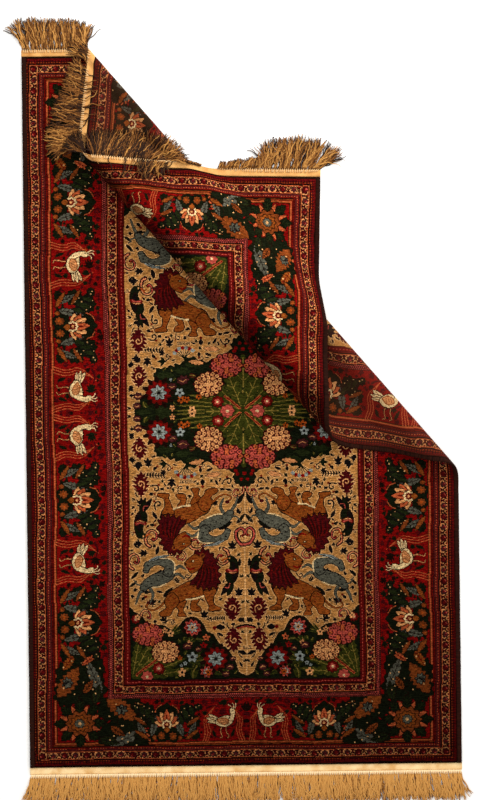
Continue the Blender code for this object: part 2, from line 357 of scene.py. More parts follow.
tip = fold([(RUG_WIDTH, PILE_LENGTH, 0.0)])[0]
print("turned corner lies at", tip.round(3))


# %% [markdown]
# ## Meshes from arrays
#
# Every piece below is a grid of points worked out by a formula, or many small ones side by
# side. One function puts the points and the faces into a mesh, gives it its flat place as a UV
# map, and makes it a piece of the object: it rides on the rug's one body and stands for its CAD
# nodes.


# %% Put a piece into the scene
def make_piece(name, points, faces, replaced, uv=None):
    """faces is (n, 4) corner indices; uv is (n, 4, 2), each corner's place in the flat sheet."""
    mesh = bpy.data.meshes.new(name)
    mesh.vertices.add(len(points))
    mesh.vertices.foreach_set("co", np.ascontiguousarray(points, np.float32).ravel())
    mesh.loops.add(faces.size)
    mesh.loops.foreach_set("vertex_index", faces.astype(np.int32).ravel())
    mesh.polygons.add(len(faces))
    mesh.polygons.foreach_set("loop_start", np.arange(0, faces.size, 4, dtype=np.int32))
    mesh.update(calc_edges=True)
    if uv is not None:
        mesh.uv_layers.new(name="flat").uv.foreach_set("vector", uv.astype(np.float32).ravel())
    mesh.polygons.foreach_set("use_smooth", np.full(len(faces), True))
    mesh.validate()
    piece = bpy.data.objects.new(name, mesh)
    bpy.context.scene.collection.objects.link(piece)
    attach(piece, "root")
    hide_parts(replaced)
    return piece


def grid_faces(rows, columns, closed=False):
    """Quads between neighbours of a grid; a closed grid's last column meets its first."""
    index = np.arange(rows * columns).reshape(rows, columns)
    beside = np.roll(index, -1, 1) if closed else index[:, 1:]
    here = index if closed else index[:, :-1]
    quads = np.stack((here[:-1], beside[:-1], beside[1:], here[1:]), -1)
    return quads.reshape(-1, 4)


def sheet_faces(rows, columns):
    """A closed thin sheet: an upper grid, an under grid facing down, and a rim between them."""
    count = rows * columns
    upper = grid_faces(rows, columns)
    under = upper[:, ::-1] + count
    index = np.arange(count).reshape(rows, columns)
    border = np.concatenate((index[0, :-1], index[:-1, -1], index[-1, :0:-1], index[:0:-1, 0]))
    onward = np.roll(border, -1)
    rim = np.stack((border, border + count, onward + count, onward), -1)
    return upper, under, rim


# %% [markdown]
# ## The knot chart
#
# A weaver ties a rug like this from a chart, knot by knot, and so does this script: the design
# is a grid of 640 by 1080 knots, about 2 mm apart, in 22 dyes. A weaver's chart gives only a
# quarter, because the design is the same to the left and right and above and below, so all the
# motifs are drawn on a quarter and mirrored. They are drawn from a few brushes: a lobed round,
# a stroke along a smooth curve, a leaf and a smooth outline. All sizes are millimetres from
# the pile's lower left corner.

# %% Chart and dyes
KNOTS_WIDE = 640
KNOTS_LONG = 1080
PILE_WIDE = RUG_WIDTH - 2 * SELVEDGE_WIDTH - 2 * SEAM

DYES = {
    "beige": "b67c40", "ivory": "e8c48c", "cream": "ce8650", "peach": "e09a5e", "salmon": "b8552e",
    "orange": "a04412", "ochre": "8a4416", "rust": "7c3a16", "red": "7a0a08", "brick": "640d08",
    "rose": "b2483a", "burgundy": "440a0d", "plum": "451c1c", "slate": "565446", "mist": "8b9088",
    "olive": "35360f", "lime": "806a2c", "leaf": "1e240f", "green": "12160a", "navy": "120d0d",
    "umber": "1a0b06", "halo": "dca468",
}
DYE = {name: number for number, name in enumerate(DYES)}

HALF_X = PILE_WIDE * 500.0       # the quarter's size in millimetres
HALF_Y = PILE_LENGTH * 500.0
knot_x = (np.arange(KNOTS_WIDE // 2) + 0.5) * HALF_X / (KNOTS_WIDE // 2)
knot_y = (np.arange(KNOTS_LONG // 2) + 0.5) * HALF_Y / (KNOTS_LONG // 2)
quarter = np.full((len(knot_y), len(knot_x)), DYE["beige"], np.int8)
THIN = 2.1                       # one knot's width: the thinnest line


# %% Brushes
def window(x0, y0, x1, y1):
    """The knots inside a rectangle, as a view to paint on, and their places."""
    columns = slice(*np.searchsorted(knot_x, (x0, x1)))
    rows = slice(*np.searchsorted(knot_y, (y0, y1)))
    x, y = np.meshgrid(knot_x[columns], knot_y[rows])
    return quarter[rows, columns], x, y


def blob(cx, cy, rx, ry, dye, turn=0.0, lobes=0, depth=0.0):
    """A lobed ellipse: knots whose scaled distance is under 1 + depth cos(lobes angle)."""
    reach = max(rx, ry) * (1 + depth) + 3
    knots, x, y = window(cx - reach, cy - reach, cx + reach, cy + reach)
    px = ((x - cx) * math.cos(turn) + (y - cy) * math.sin(turn)) / rx
    py = ((y - cy) * math.cos(turn) - (x - cx) * math.sin(turn)) / ry
    edge = 1 + depth * np.cos(lobes * np.arctan2(py, px))
    knots[np.hypot(px, py) <= edge] = DYE[dye]


def smooth_line(points, closed, steps=5):
    """A Catmull-Rom curve: each span is a cubic in t with its neighbours' slopes at its ends."""
    p = np.asarray(points, float)
    before, after = (p[-1:], p[:2]) if closed else (2 * p[:1] - p[1:2], 2 * p[-1:] - p[-2:-1])
    p = np.vstack((before, p, after))
    t = np.arange(steps)[:, None] / steps
    a, b, c, d = p[:-3, None], p[1:-2, None], p[2:-1, None], p[3:, None]
    bend = (2 * a - 5 * b + 4 * c - d) * t ** 2 + (3 * b - 3 * c + d - a) * t ** 3
    curve = (0.5 * (2 * b + (c - a) * t + bend)).reshape(-1, 2)
    return curve if closed else np.vstack((curve, p[-2]))


def distance_to(line, x, y):
    """Distance of each knot to the nearest span of a line, and how far along the line that is."""
    start, way = line[:-1], np.diff(line, axis=0)
    length = np.hypot(*way.T) + 1e-9
    px = x[..., None] - start[:, 0]
    py = y[..., None] - start[:, 1]
    along = np.clip((px * way[:, 0] + py * way[:, 1]) / length ** 2, 0, 1)
    gap = np.hypot(px - along * way[:, 0], py - along * way[:, 1])
    nearest = gap.argmin(-1)[..., None]
    passed = np.concatenate(([0.0], np.cumsum(length)))
    there = passed[nearest] + np.take_along_axis(along, nearest, -1) * length[nearest]
    return np.take_along_axis(gap, nearest, -1)[..., 0], there[..., 0] / passed[-1]


def stroke(points, wide, dye, end=None):
    """A line through the points, from one width to another."""
    line = smooth_line(points, False, 4) if len(points) > 2 else np.asarray(points, float)
    end = wide if end is None else end
    reach = max(wide, end) / 2 + 2
    knots, x, y = window(*(line.min(0) - reach), *(line.max(0) + reach))
    if knots.size:
        gap, share = distance_to(line, x, y)
        knots[gap <= (wide + (end - wide) * share) / 2] = DYE[dye]


def leaf(x0, y0, x1, y1, wide, dye, teeth=0, vein=None, edge=None):
    """A leaf from stem to tip: its half width is a sine of the way along, nicked by the teeth."""
    length = math.hypot(x1 - x0, y1 - y0)
    ux, uy = (x1 - x0) / length, (y1 - y0) / length
    if edge:
        leaf(x0 - ux * 3, y0 - uy * 3, x1 + ux * 3, y1 + uy * 3, wide + 4.4, edge, teeth)
    reach = wide / 2 + 2
    knots, x, y = window(min(x0, x1) - reach, min(y0, y1) - reach,
                         max(x0, x1) + reach, max(y0, y1) + reach)
    t = ((x - x0) * ux + (y - y0) * uy) / length
    off = np.abs((y - y0) * ux - (x - x0) * uy)
    half = wide / 2 * np.sin(math.pi * np.clip(t, 0, 1) ** 0.85) ** 0.8
    if teeth:
        half = half * (1 - 0.28 * np.sin(math.pi * teeth * t) ** 2)
    knots[(t >= 0) & (t <= 1) & (off <= half)] = DYE[dye]
    if vein:
        middle = np.array((0.08, 0.9)) * length
        stroke([(x0 + ux * s, y0 + uy * s) for s in middle], 2.3, vein)
        for share in (0.3, 0.5, 0.7):
            bx, by = x0 + ux * length * share, y0 + uy * length * share
            arm = wide * 0.3 * math.sin(math.pi * share)
            for side in (-arm, arm):
                stroke([(bx, by), (bx + ux * arm - uy * side, by + uy * arm + ux * side)], THIN, vein)


def outline(points, dye, edge=None):
    """A smooth closed shape: a knot is inside where a ray from it crosses the line an odd time."""
    line = smooth_line(points, True)
    knots, x, y = window(*(line.min(0) - 5), *(line.max(0) + 5))
    if not knots.size:
        return
    onward = np.roll(line, -1, 0)
    crosses = (line[:, 1] > y[..., None]) != (onward[:, 1] > y[..., None])
    slope = (onward[:, 0] - line[:, 0]) / (onward[:, 1] - line[:, 1] + 1e-12)
    at = slope * (y[..., None] - line[:, 1]) + line[:, 0]
    inside = (crosses & (x[..., None] < at)).sum(-1) % 2 == 1
    if edge:
        gap, _ = distance_to(np.vstack((line, line[:1])), x, y)
        knots[inside | (gap < 1.8)] = DYE[edge]
        inside &= gap > 1.1
    knots[inside] = DYE[dye]


def ground_is_free(x, y, reach, ground="beige"):
    """Whether every knot of a round still has the ground's dye."""
    knots, kx, ky = window(x - reach, y - reach, x + reach, y + reach)
    return bool((knots[np.hypot(kx - x, ky - y) < reach] == DYE[ground]).all())


class Motif:
    """A motif's own frame: what is drawn in it is scaled, mirrored, turned and put in place."""

    def __init__(self, x, y, scale=1.0, turn=0.0, flip=False):
        self.x, self.y, self.scale = x, y, scale
        self.turn, self.side = math.radians(turn), -1 if flip else 1

    def at(self, x, y):
        x, y = x * self.scale * self.side, y * self.scale
        c, s = math.cos(self.turn), math.sin(self.turn)
        return self.x + x * c - y * s, self.y + x * s + y * c

    def outline(self, points, dye, edge="umber"):
        outline([self.at(*p) for p in points], dye, edge)

    def stroke(self, points, wide, dye, end=None):
        line = [self.at(*p) for p in points]
        stroke(line, wide * self.scale, dye, None if end is None else end * self.scale)

    def blob(self, x, y, rx, ry, dye, turn=0.0, lobes=0, depth=0.0):
        turn = self.turn + turn * self.side
        blob(*self.at(x, y), rx * self.scale, ry * self.scale, dye, turn, lobes, depth)

    def leaf(self, x0, y0, x1, y1, wide, dye, **more):
        leaf(*self.at(x0, y0), *self.at(x1, y1), wide * self.scale, dye, **more)


# %% [markdown]
# ## Bands
#
# From the edge inwards run a dark band with rows of pin dots, a cream guard with rosettes,
# a dark stripe, the wide main border, pin stripes, a second guard and a dotted red stripe.
# Every one is the same on all four sides, so a band is a step in the distance from the edge,
# and lines and rosettes follow it round the corner.

# %% Ground of the bands
BANDS = (  # name, its dye, and where it starts, from the side and from the end
    ("edge", "umber", 0.0, 0.0), ("band", "burgundy", 2.4, 6.0), ("guard", "cream", 21.0, 26.0),
    ("pins", "plum", 50.0, 52.0), ("main", "red", 68.0, 68.0), ("stripes", "plum", 238.0, 216.0),
    ("inner guard", "cream", 256.0, 232.0), ("dots", "brick", 286.0, 259.0),
    ("field", "beige", 307.0, 278.0), ("middle", "beige", 660.0, 1111.0),
)
BAND_NAMES = [name for name, *_ in BANDS]


def extent(name):
    """Start and end of a band: x0, x1 from the side and y0, y1 from the end."""
    here = BAND_NAMES.index(name)
    (_, _, x0, y0), (_, _, x1, y1) = BANDS[here], BANDS[here + 1]
    return x0, x1, y0, y1


def lay_bands():
    """Each knot belongs to the outer of the two bands that its x and its y fall in."""
    across = np.searchsorted([x for _, _, x, _ in BANDS], knot_x, side="right") - 1
    upward = np.searchsorted([y for _, _, _, y in BANDS], knot_y, side="right") - 1
    number = np.minimum(across[None, :], upward[:, None])
    quarter[:] = np.array([DYE[dye] for _, dye, _, _ in BANDS])[number]
    return number


def line_along(name, share, dye, wide=THIN, pitch=0.0, lag=0.0):
    """A line round a band at a share of its width, broken into dots where a pitch is given."""
    x0, x1, y0, y1 = extent(name)
    x, y = np.meshgrid(knot_x, knot_y)
    from_x, from_y = x - x0 - (x1 - x0) * share, y - y0 - (y1 - y0) * share
    side = (np.abs(from_x) < wide / 2) & (from_y > -wide / 2)
    foot = (np.abs(from_y) < wide / 2) & (from_x > -wide / 2)
    if pitch:
        side &= (y + lag) % pitch < pitch / 2
        foot &= (x + lag) % pitch < pitch / 2
    quarter[side | foot] = DYE[dye]


def places_along(name, pitch):
    """Places round a band near that pitch: the corner, up the side and along the end."""
    x0, x1, y0, y1 = extent(name)
    mx, my = (x0 + x1) / 2, (y0 + y1) / 2
    places = [(mx, my, 45.0, 0)]
    for length, upright in ((HALF_Y - my, True), (HALF_X - mx, False)):
        count = round(length / pitch)
        for k in range(1, count + 1):
            step = length * k / count
            places.append((mx, my + step, 0.0, k) if upright else (mx + step, my, 90.0, k))
    return places


# %% [markdown]
# The guards alternate burgundy and plum rosettes, with pairs of crossing curls between them. At
# this size a rosette is only some ten knots wide, so it is two lobed rounds and a bright eye.


# %% Guards and pin stripes
def guard(name):
    """Burgundy rosettes every 34 mm, with a pair of crossing curls on each side of the gap."""
    for x, y, turn, k in places_along(name, 34.0):
        m = Motif(x, y, 1.0, turn)
        size, dye = ((10.0, "burgundy"), (8.0, "plum"))[k % 2]
        m.blob(0, 0, size + 1.8, size + 1.8, "umber", 0, 6, 0.12)
        m.blob(0, 0, size, size, dye, 0, 6, 0.14)
        m.blob(0, 0, size * 0.34, size * 0.34, "brick")
        m.stroke([(-6, 0), (-2, 5)], THIN, "rose")
        for end in (-1, 1):
            m.stroke([(-11, end * 8), (-3, end * 12), (5, end * 17), (12, end * 20)], 3.4, "umber")
            m.stroke([(12, end * 9), (8, end * 13), (-2, end * 18)], 2.6, "burgundy")
            m.blob(-9, end * 16, 3.4, 3.0, "brick")
            m.blob(10, end * 16, 2.4, 2.4, "umber")
    for share, dye in ((0.02, "umber"), (0.98, "umber"), (0.10, "salmon"), (0.90, "salmon")):
        line_along(name, share, dye)


PIN_LINES = (  # band, share of its width, dye, width, pitch and lag of its dots
    ("band", 0.16, "brick", 3.0, 0, 0), ("band", 0.34, "red", THIN, 8.2, 0),
    ("band", 0.50, "umber", THIN, 8.2, 4.1), ("band", 0.66, "orange", THIN, 8.2, 0),
    ("band", 0.88, "umber", THIN, 0, 0), ("pins", 0.06, "umber", THIN, 0, 0),
    ("pins", 0.30, "brick", 3.0, 0, 0), ("pins", 0.52, "salmon", THIN, 8.2, 0),
    ("pins", 0.72, "brick", 3.0, 0, 0), ("pins", 0.94, "umber", THIN, 0, 0),
    ("stripes", 0.06, "umber", THIN, 0, 0), ("stripes", 0.24, "rose", THIN, 6.2, 0),
    ("stripes", 0.37, "burgundy", THIN, 0, 0), ("stripes", 0.50, "rose", THIN, 6.2, 3.1),
    ("stripes", 0.63, "burgundy", THIN, 0, 0), ("stripes", 0.76, "rose", THIN, 6.2, 0),
    ("stripes", 0.94, "umber", THIN, 0, 0), ("dots", 0.06, "umber", THIN, 0, 0),
    ("dots", 0.24, "burgundy", 3.0, 0, 0), ("dots", 0.50, "rose", THIN, 10.3, 0),
    ("dots", 0.76, "burgundy", 3.0, 0, 0), ("dots", 0.96, "umber", 3.0, 0, 0),
)


def pin_stripes():
    for row in PIN_LINES:
        line_along(*row)


# %% [markdown]
# ## Main border
#
# The wide border has a red ground. Dark groves alternate on it with speckled ivory birds that
# walk between salmon twigs, two and two towards each other. A grove is a mass of toothed leaves
# about a salmon lotus, and the corners are turned by a large rosette with rust-coloured leaves.
# A salmon ground line runs along the outer side.


# %% Main border
def mass(m, x, y, rx, ry):
    """A dark lobed round with an umber edge."""
    m.blob(x, y, rx, ry, "umber", 0, 9, 0.10)
    m.blob(x, y, rx - 2.4, ry - 2.4, "green", 0, 9, 0.12)


def lotus(m, x, size):
    """A fan of pointed salmon and peach petals over a brick heart."""
    for k in (-3, 3, -2, 2, -1, 1, 0):
        a = math.radians(27 * k)
        reach = size * (1 - 0.07 * abs(k))
        dye = "peach" if k % 2 else "salmon"
        m.leaf(x, 0, x + reach * math.cos(a), reach * math.sin(a), size * 0.40, dye, edge="umber")
        m.leaf(x + 8 * math.cos(a), 8 * math.sin(a), x + reach * 0.72 * math.cos(a),
               reach * 0.72 * math.sin(a), size * 0.12, "brick")
    for radius, dye in ((0.34, "umber"), (0.30, "ivory"), (0.20, "brick"), (0.08, "peach")):
        m.blob(x, 0, size * radius, size * radius, dye, 0, 8, 0.10)


def grove(m):
    """Dark masses, slate and rust leaves and speckled trees about a lotus."""
    for side in (-1, 1):
        for x, y, rx, ry in ((-60, 118, 18, 24), (0, 112, 36, 30), (66, 130, 17, 20), (42, 84, 40, 38)):
            mass(m, x, side * y, rx, ry)
    mass(m, -50, 0, 34, 82)
    mass(m, 36, 0, 48, 54)
    for side in (-1, 1):
        m.leaf(-58, side * 66, 36, side * 40, 30, "slate", teeth=7, vein="umber", edge="umber")
        m.leaf(-66, side * 92, 2, side * 122, 26, "slate", teeth=7, vein="umber", edge="umber")
        m.leaf(-72, side * 78, -34, side * 136, 20, "rust", teeth=5, vein="ochre", edge="umber")
        m.leaf(-10, side * 86, 26, side * 142, 17, "rust", teeth=5, edge="umber")
        for x, y, rx, ry in ((36, 78, 30, 15), (52, 104, 24, 13), (14, 62, 26, 12), (64, 130, 12, 11)):
            m.blob(x, side * y, rx, ry, "navy", 0.3, 9, 0.16)
            m.blob(x, side * y, rx - 4, ry - 4, "leaf", 0.3, 9, 0.20)
        for x, y in ((62, 74), (30, 94), (70, 98), (46, 62), (66, 124), (20, 108), (72, 134), (4, 96)):
            m.blob(x, side * y, 2.2, 2.2, "halo")
        for x, y, r in ((-58, 24, 18), (-66, 54, 12)):
            m.blob(x, side * y, r, r * 0.9, "umber", 0, 8, 0.10)
            m.blob(x, side * y, r - 2.4, r * 0.9 - 2.4, "rust", 0, 8, 0.14)
            m.blob(x, side * y, r * 0.3, r * 0.3, "orange")
    lotus(m, -8, 66)
    m.leaf(-18, 0, -44, 0, 22, "ochre", edge="umber")
    for side in (-1, 1):
        m.stroke([(44, side * 50), (64, side * 42), (78, side * 22)], 6.0, "umber")
        m.stroke([(44, side * 50), (64, side * 42), (78, side * 22)], 3.2, "salmon")


def partridge(m):
    """A speckled ivory bird with a crest and a raised tail, its feet on the ground line."""
    for x, top in ((-62, 62), (-52, 74), (-72, 48)):
        m.stroke([(x - 14, -82), (x - 2, -40), (x - 8, 0), (x + 2, top * 0.6), (x + 22, top)],
                 3.2, "salmon", 2.3)
        m.stroke([(-x + 12, -82), (-x, -36), (-x + 6, 4), (-x - 6, top * 0.5), (-x - 24, top * 0.9)],
                 3.0, "salmon", 2.3)
    for line in ([(-70, 60), (-44, 70), (-20, 64)], [(20, 76), (46, 66), (74, 74)], [(-16, -34), (0, -28)],
                 [(-40, -60), (-24, -66)], [(34, -20), (50, -10), (52, 6)], [(-56, 20), (-50, 34)]):
        m.stroke(line, 9.0, "burgundy", 5.0)
    m.leaf(30, -66, 44, -30, 16, "green", teeth=5)
    m.leaf(-34, -66, -46, -34, 16, "green", teeth=5)
    for leg in ([(-6, -18), (-12, -40), (-6, -64), (-16, -70)], [(12, -18), (12, -42), (20, -64), (10, -70)]):
        m.stroke(leg, 6.8, "umber", 5.4)
        m.stroke(leg, 3.4, "cream", 2.3)
    for x, y, wide in ((-62, 34, 17), (-68, 18, 15), (-64, 2, 13)):
        m.leaf(-16, 2, x, y, wide, "ivory", edge="umber")
        m.stroke([(-26, 4 + y * 0.15), (x + 8, y * 0.92)], THIN, "ochre")
    m.outline([(-34, 0), (-16, -20), (14, -22), (34, -6), (36, 14), (14, 26), (-16, 20)], "ivory")
    m.outline([(20, 8), (38, 6), (46, 28), (46, 46), (38, 56), (26, 54), (24, 42), (28, 28)], "ivory")
    m.stroke([(22, 8), (34, 4), (38, 10)], 6.0, "ivory")
    m.stroke([(46, 48), (58, 44)], 5.0, "orange", 2.3)
    for crest in ([(34, 54), (28, 66), (18, 70)], [(38, 56), (38, 70), (32, 76)],
                  [(42, 54), (48, 66), (46, 76)]):
        m.stroke(crest, 4.4, "umber", 3.4)
        m.stroke(crest, 2.6, "ivory", 2.1)
    m.blob(38, 46, 2.4, 2.4, "umber")
    m.outline([(-24, 6), (-2, -12), (20, -6), (14, 10), (-8, 16)], "cream", "ochre")
    for x in (-12, -3, 6):
        m.stroke([(x, 8), (x + 6, -6)], THIN, "rust")
    for x, y in ((-24, -4), (24, 16), (30, 2), (20, -14), (-6, 20), (8, 20), (36, 24), (38, 34), (4, -16)):
        m.blob(x, y, 1.9, 1.6, "ochre")


def corner_rosette(m):
    """A rosette in the corner, and rust and dark green leaves that reach along both arms."""
    for turn, stretch in ((0, 0.88), (90, 1.0)):
        arm = Motif(m.x, m.y, 1.0, turn)
        side = 1 if turn == 0 else -1
        for off, along, rx, ry in ((40, 104, 46, 52), (-44, 96, 42, 44), (6, 160, 66, 42), (-50, 150, 34, 46),
                                   (54, 170, 28, 40), (-20, 206, 40, 26), (40, 214, 22, 22)):
            mass(arm, side * off * stretch, side * along, rx, ry)
        for x0, y0, x1, y1, wide, dye, vein in (
                (-76, 84, -6, 176, 56, "rust", "ochre"), (74, 92, 24, 196, 34, "slate", "umber"),
                (-60, 168, -18, 220, 26, "ochre", "brick"), (52, 62, 66, 118, 28, "leaf", "navy"),
                (14, 96, 44, 136, 24, "rust", "umber"), (6, 184, 60, 214, 18, "salmon", "brick")):
            arm.leaf(side * x0 * stretch, side * y0, side * x1 * stretch, side * y1, wide, dye, teeth=7,
                     vein=vein, edge="umber")
        arm.blob(side * -40, side * 128, 16, 18, "navy", 0, 7, 0.15)
        arm.blob(side * -40, side * 128, 12.5, 14.5, "slate", 0, 7, 0.20)
        for k in range(-3, 4):
            arm.stroke([(side * (-44 + 3 * k), side * (124 + 3 * k)),
                        (side * (-36 + 3 * k), side * (132 - 3 * k))], THIN, "navy")
        for off, along in ((52, 128), (32, 150), (62, 146), (-58, 112), (4, 190), (24, 176), (44, 104),
                           (-30, 196), (-60, 176), (10, 130), (70, 170), (-14, 210), (56, 92), (-20, 92)):
            arm.blob(side * off * stretch, side * along, 2.2, 2.2, "halo")
    for k in range(8):
        c, s = math.cos(math.pi / 4 * k), math.sin(math.pi / 4 * k)
        m.leaf(20 * c, 20 * s, 80 * c, 76 * s, 40, "green", teeth=6, vein="leaf", edge="umber")
    for k in range(8):
        c, s = math.cos(math.pi / 4 * (k + 0.5)), math.sin(math.pi / 4 * (k + 0.5))
        m.leaf(22 * c, 22 * s, 66 * c, 60 * s, 13, "salmon", edge="umber")
    for size, dye in ((44, "umber"), (40, "rust"), (29, "umber"), (26, "ochre"), (17, "navy"), (14, "slate")):
        m.blob(0, 0, size, size * 0.92, dye, 0, 10, 0.10)
    m.blob(0, 0, 5, 5, "halo", 0, 6, 0.2)


def thicket(x0, x1, y0, y1, seed):
    """Burgundy and dark green tufts, each only where the red ground is still free."""
    rng = np.random.default_rng(seed)
    for size, tries in ((32, 260), (24, 600), (17, 850), (11, 700)):
        for x, y, kind, turn in zip(rng.uniform(x0, x1, tries), rng.uniform(y0, y1, tries),
                                    rng.integers(0, 4, tries), rng.integers(0, 8, tries) * 45.0):
            if ground_is_free(x, y, size * 0.46, "red"):
                m = Motif(x, y, size / 21, turn)
                dye = ("burgundy", "umber", "burgundy", "green")[kind]
                for k in (-8, -3, 3, 8):
                    m.leaf(0, -10, k, 11 - abs(k) * 0.5, 5.6, dye)
                m.stroke([(-9, -4), (0, -8), (9, -4)], 3.4, dye)
                if kind == 0:
                    m.stroke([(-3, -2), (3, 4)], 2.6, "brick")


SIDE_PLACES = (  # place up the side, motif, size, turn and whether it is mirrored
    (456.0, grove, 0.80, 0, False), (648.0, partridge, 0.84, -90, False),
    (840.0, grove, 0.80, 0, False), (1036.0, partridge, 0.84, -90, True),
)
END_PLACES = ((418.0, grove, 0.72, 90, False), (590.0, partridge, 0.74, 0, False))


def main_border():
    """The ground line, then the motifs at their places up the side and along the end."""
    x0, x1, y0, y1 = extent("main")
    for share, dye, wide in ((0.050, "rust", 14.0), (0.012, "umber", THIN), (0.035, "brick", 3.0),
                             (0.060, "salmon", THIN), (0.085, "umber", THIN)):
        line_along("main", share, dye, wide)
    corner_rosette(Motif((x0 + x1) / 2, (y0 + y1) / 2))
    for place, draw, size, turn, flip in SIDE_PLACES:
        draw(Motif((x0 + x1) / 2 - 2, place, size, turn, flip))
    for place, draw, size, turn, flip in END_PLACES:
        draw(Motif(place, (y0 + y1) / 2, size, turn, flip))
    thicket(x0 + 20, x1 - 4, y0 + 20, HALF_Y, 21)
    thicket(x1, HALF_X, y0 + 20, y1 - 4, 22)


# %% [markdown]
# ## Flowers and leaves of the field
#
# The medallion and the four corner pieces are dark green beds of large flowers: round ones with
# many small cell-like petals, red stars with a grey-blue eye, buttons and five-petalled daisies,
# over olive leaves with pale veins.


# %% Flowers
def blossom(cx, cy, r, petal, dark, squash):
    """Three rings of round petals with dark hearts, every third one of another dye."""
    other = "cream" if petal == "peach" else "salmon"
    blob(cx, cy, r * 1.08, r * squash * 1.08, "umber", 0, 12, 0.05)
    blob(cx, cy, r * 1.03, r * squash * 1.03, "burgundy", 0, 12, 0.05)
    for row in range(3):
        ring = r * (0.86 - 0.32 * row)
        count = round(math.tau * ring / (r * 0.35))
        for k in range(count):
            a = math.tau * (k + 0.5 * (row % 2)) / count
            x, y = cx + ring * math.cos(a), cy + ring * squash * math.sin(a)
            dye = other if (k + row) % 3 == 0 else petal
            blob(x, y, r * 0.145, r * 0.135, dye, a)
            if row == 0:
                blob(x, y, r * 0.055, r * 0.05, dark)
            elif k % 2:
                blob(x, y, r * 0.05, r * 0.035, "burgundy", a)
    blob(cx, cy, r * 0.13, r * 0.13, petal)


def star_flower(cx, cy, r, outer="brick", heart="slate", points=11):
    """A star of pointed petals with veins, round a grey-blue star with a pale heart."""
    blob(cx, cy, r * 1.10, r * 1.10, "umber", 0, points, 0.20)
    for k in range(points):
        a = math.tau * (k + 0.5) / points
        c, s = math.cos(a), math.sin(a)
        leaf(cx + 0.3 * r * c, cy + 0.3 * r * s, cx + r * c, cy + r * s, r * 0.44, outer)
        leaf(cx + 0.4 * r * c, cy + 0.4 * r * s, cx + 0.86 * r * c, cy + 0.86 * r * s, r * 0.22, "red")
    blob(cx, cy, r * 0.56, r * 0.56, "navy", 0, 7, 0.15)
    blob(cx, cy, r * 0.50, r * 0.50, "mist", 0, 7, 0.22)
    for k in range(7):
        a = math.tau * k / 7
        stroke([(cx, cy), (cx + 0.44 * r * math.cos(a), cy + 0.44 * r * math.sin(a))], THIN, heart)
    blob(cx, cy, r * 0.22, r * 0.22, heart, 0, 7, 0.30)
    blob(cx, cy, r * 0.12, r * 0.12, "navy")


def daisy(cx, cy, r, petal, heart="navy"):
    """Five round petals about a dark heart."""
    for k in range(5):
        a = math.tau * k / 5 + 0.3
        blob(cx + 0.58 * r * math.cos(a), cy + 0.58 * r * math.sin(a), 0.46 * r, 0.32 * r, petal, a)
    blob(cx, cy, r * 0.3, r * 0.3, heart)


def button(cx, cy, r, outer="brick"):
    """A small round flower in three rings."""
    blob(cx, cy, r * 1.12, r * 1.12, "umber", 0, 8, 0.08)
    blob(cx, cy, r, r, outer, 0, 8, 0.10)
    blob(cx, cy, r * 0.55, r * 0.55, "rose", 0, 5, 0.12)
    blob(cx, cy, r * 0.24, r * 0.24, "ivory")


def pod(cx, cy, r):
    """A brown seed pod with a pale bar."""
    blob(cx, cy, r, r * 0.8, "umber", 0, 7, 0.10)
    blob(cx, cy, r * 0.86, r * 0.66, "plum", 0, 7, 0.12)
    stroke([(cx - r * 0.5, cy), (cx, cy + r * 0.2), (cx + r * 0.5, cy)], 2.3, "cream")


# %% Medallion
def leaf_fan(cx, cy, x1, y1, wide):
    """A feathery leaf: a toothed olive blade with a lime stalk."""
    leaf(cx, cy, x1, y1, wide, "olive", teeth=8, edge="green")
    stroke([(cx, cy), (cx + (x1 - cx) * 0.88, cy + (y1 - cy) * 0.88)], THIN, "lime")


def bars(cx, cy, angle, start, end):
    """A red bar with salmon edges, along a leaf."""
    c, s = math.cos(math.radians(angle)), math.sin(math.radians(angle)) * 0.86
    line = [(cx + start * c, cy + start * s), (cx + end * c, cy + end * s)]
    stroke(line, 7.0, "salmon")
    stroke(line, 3.6, "brick")


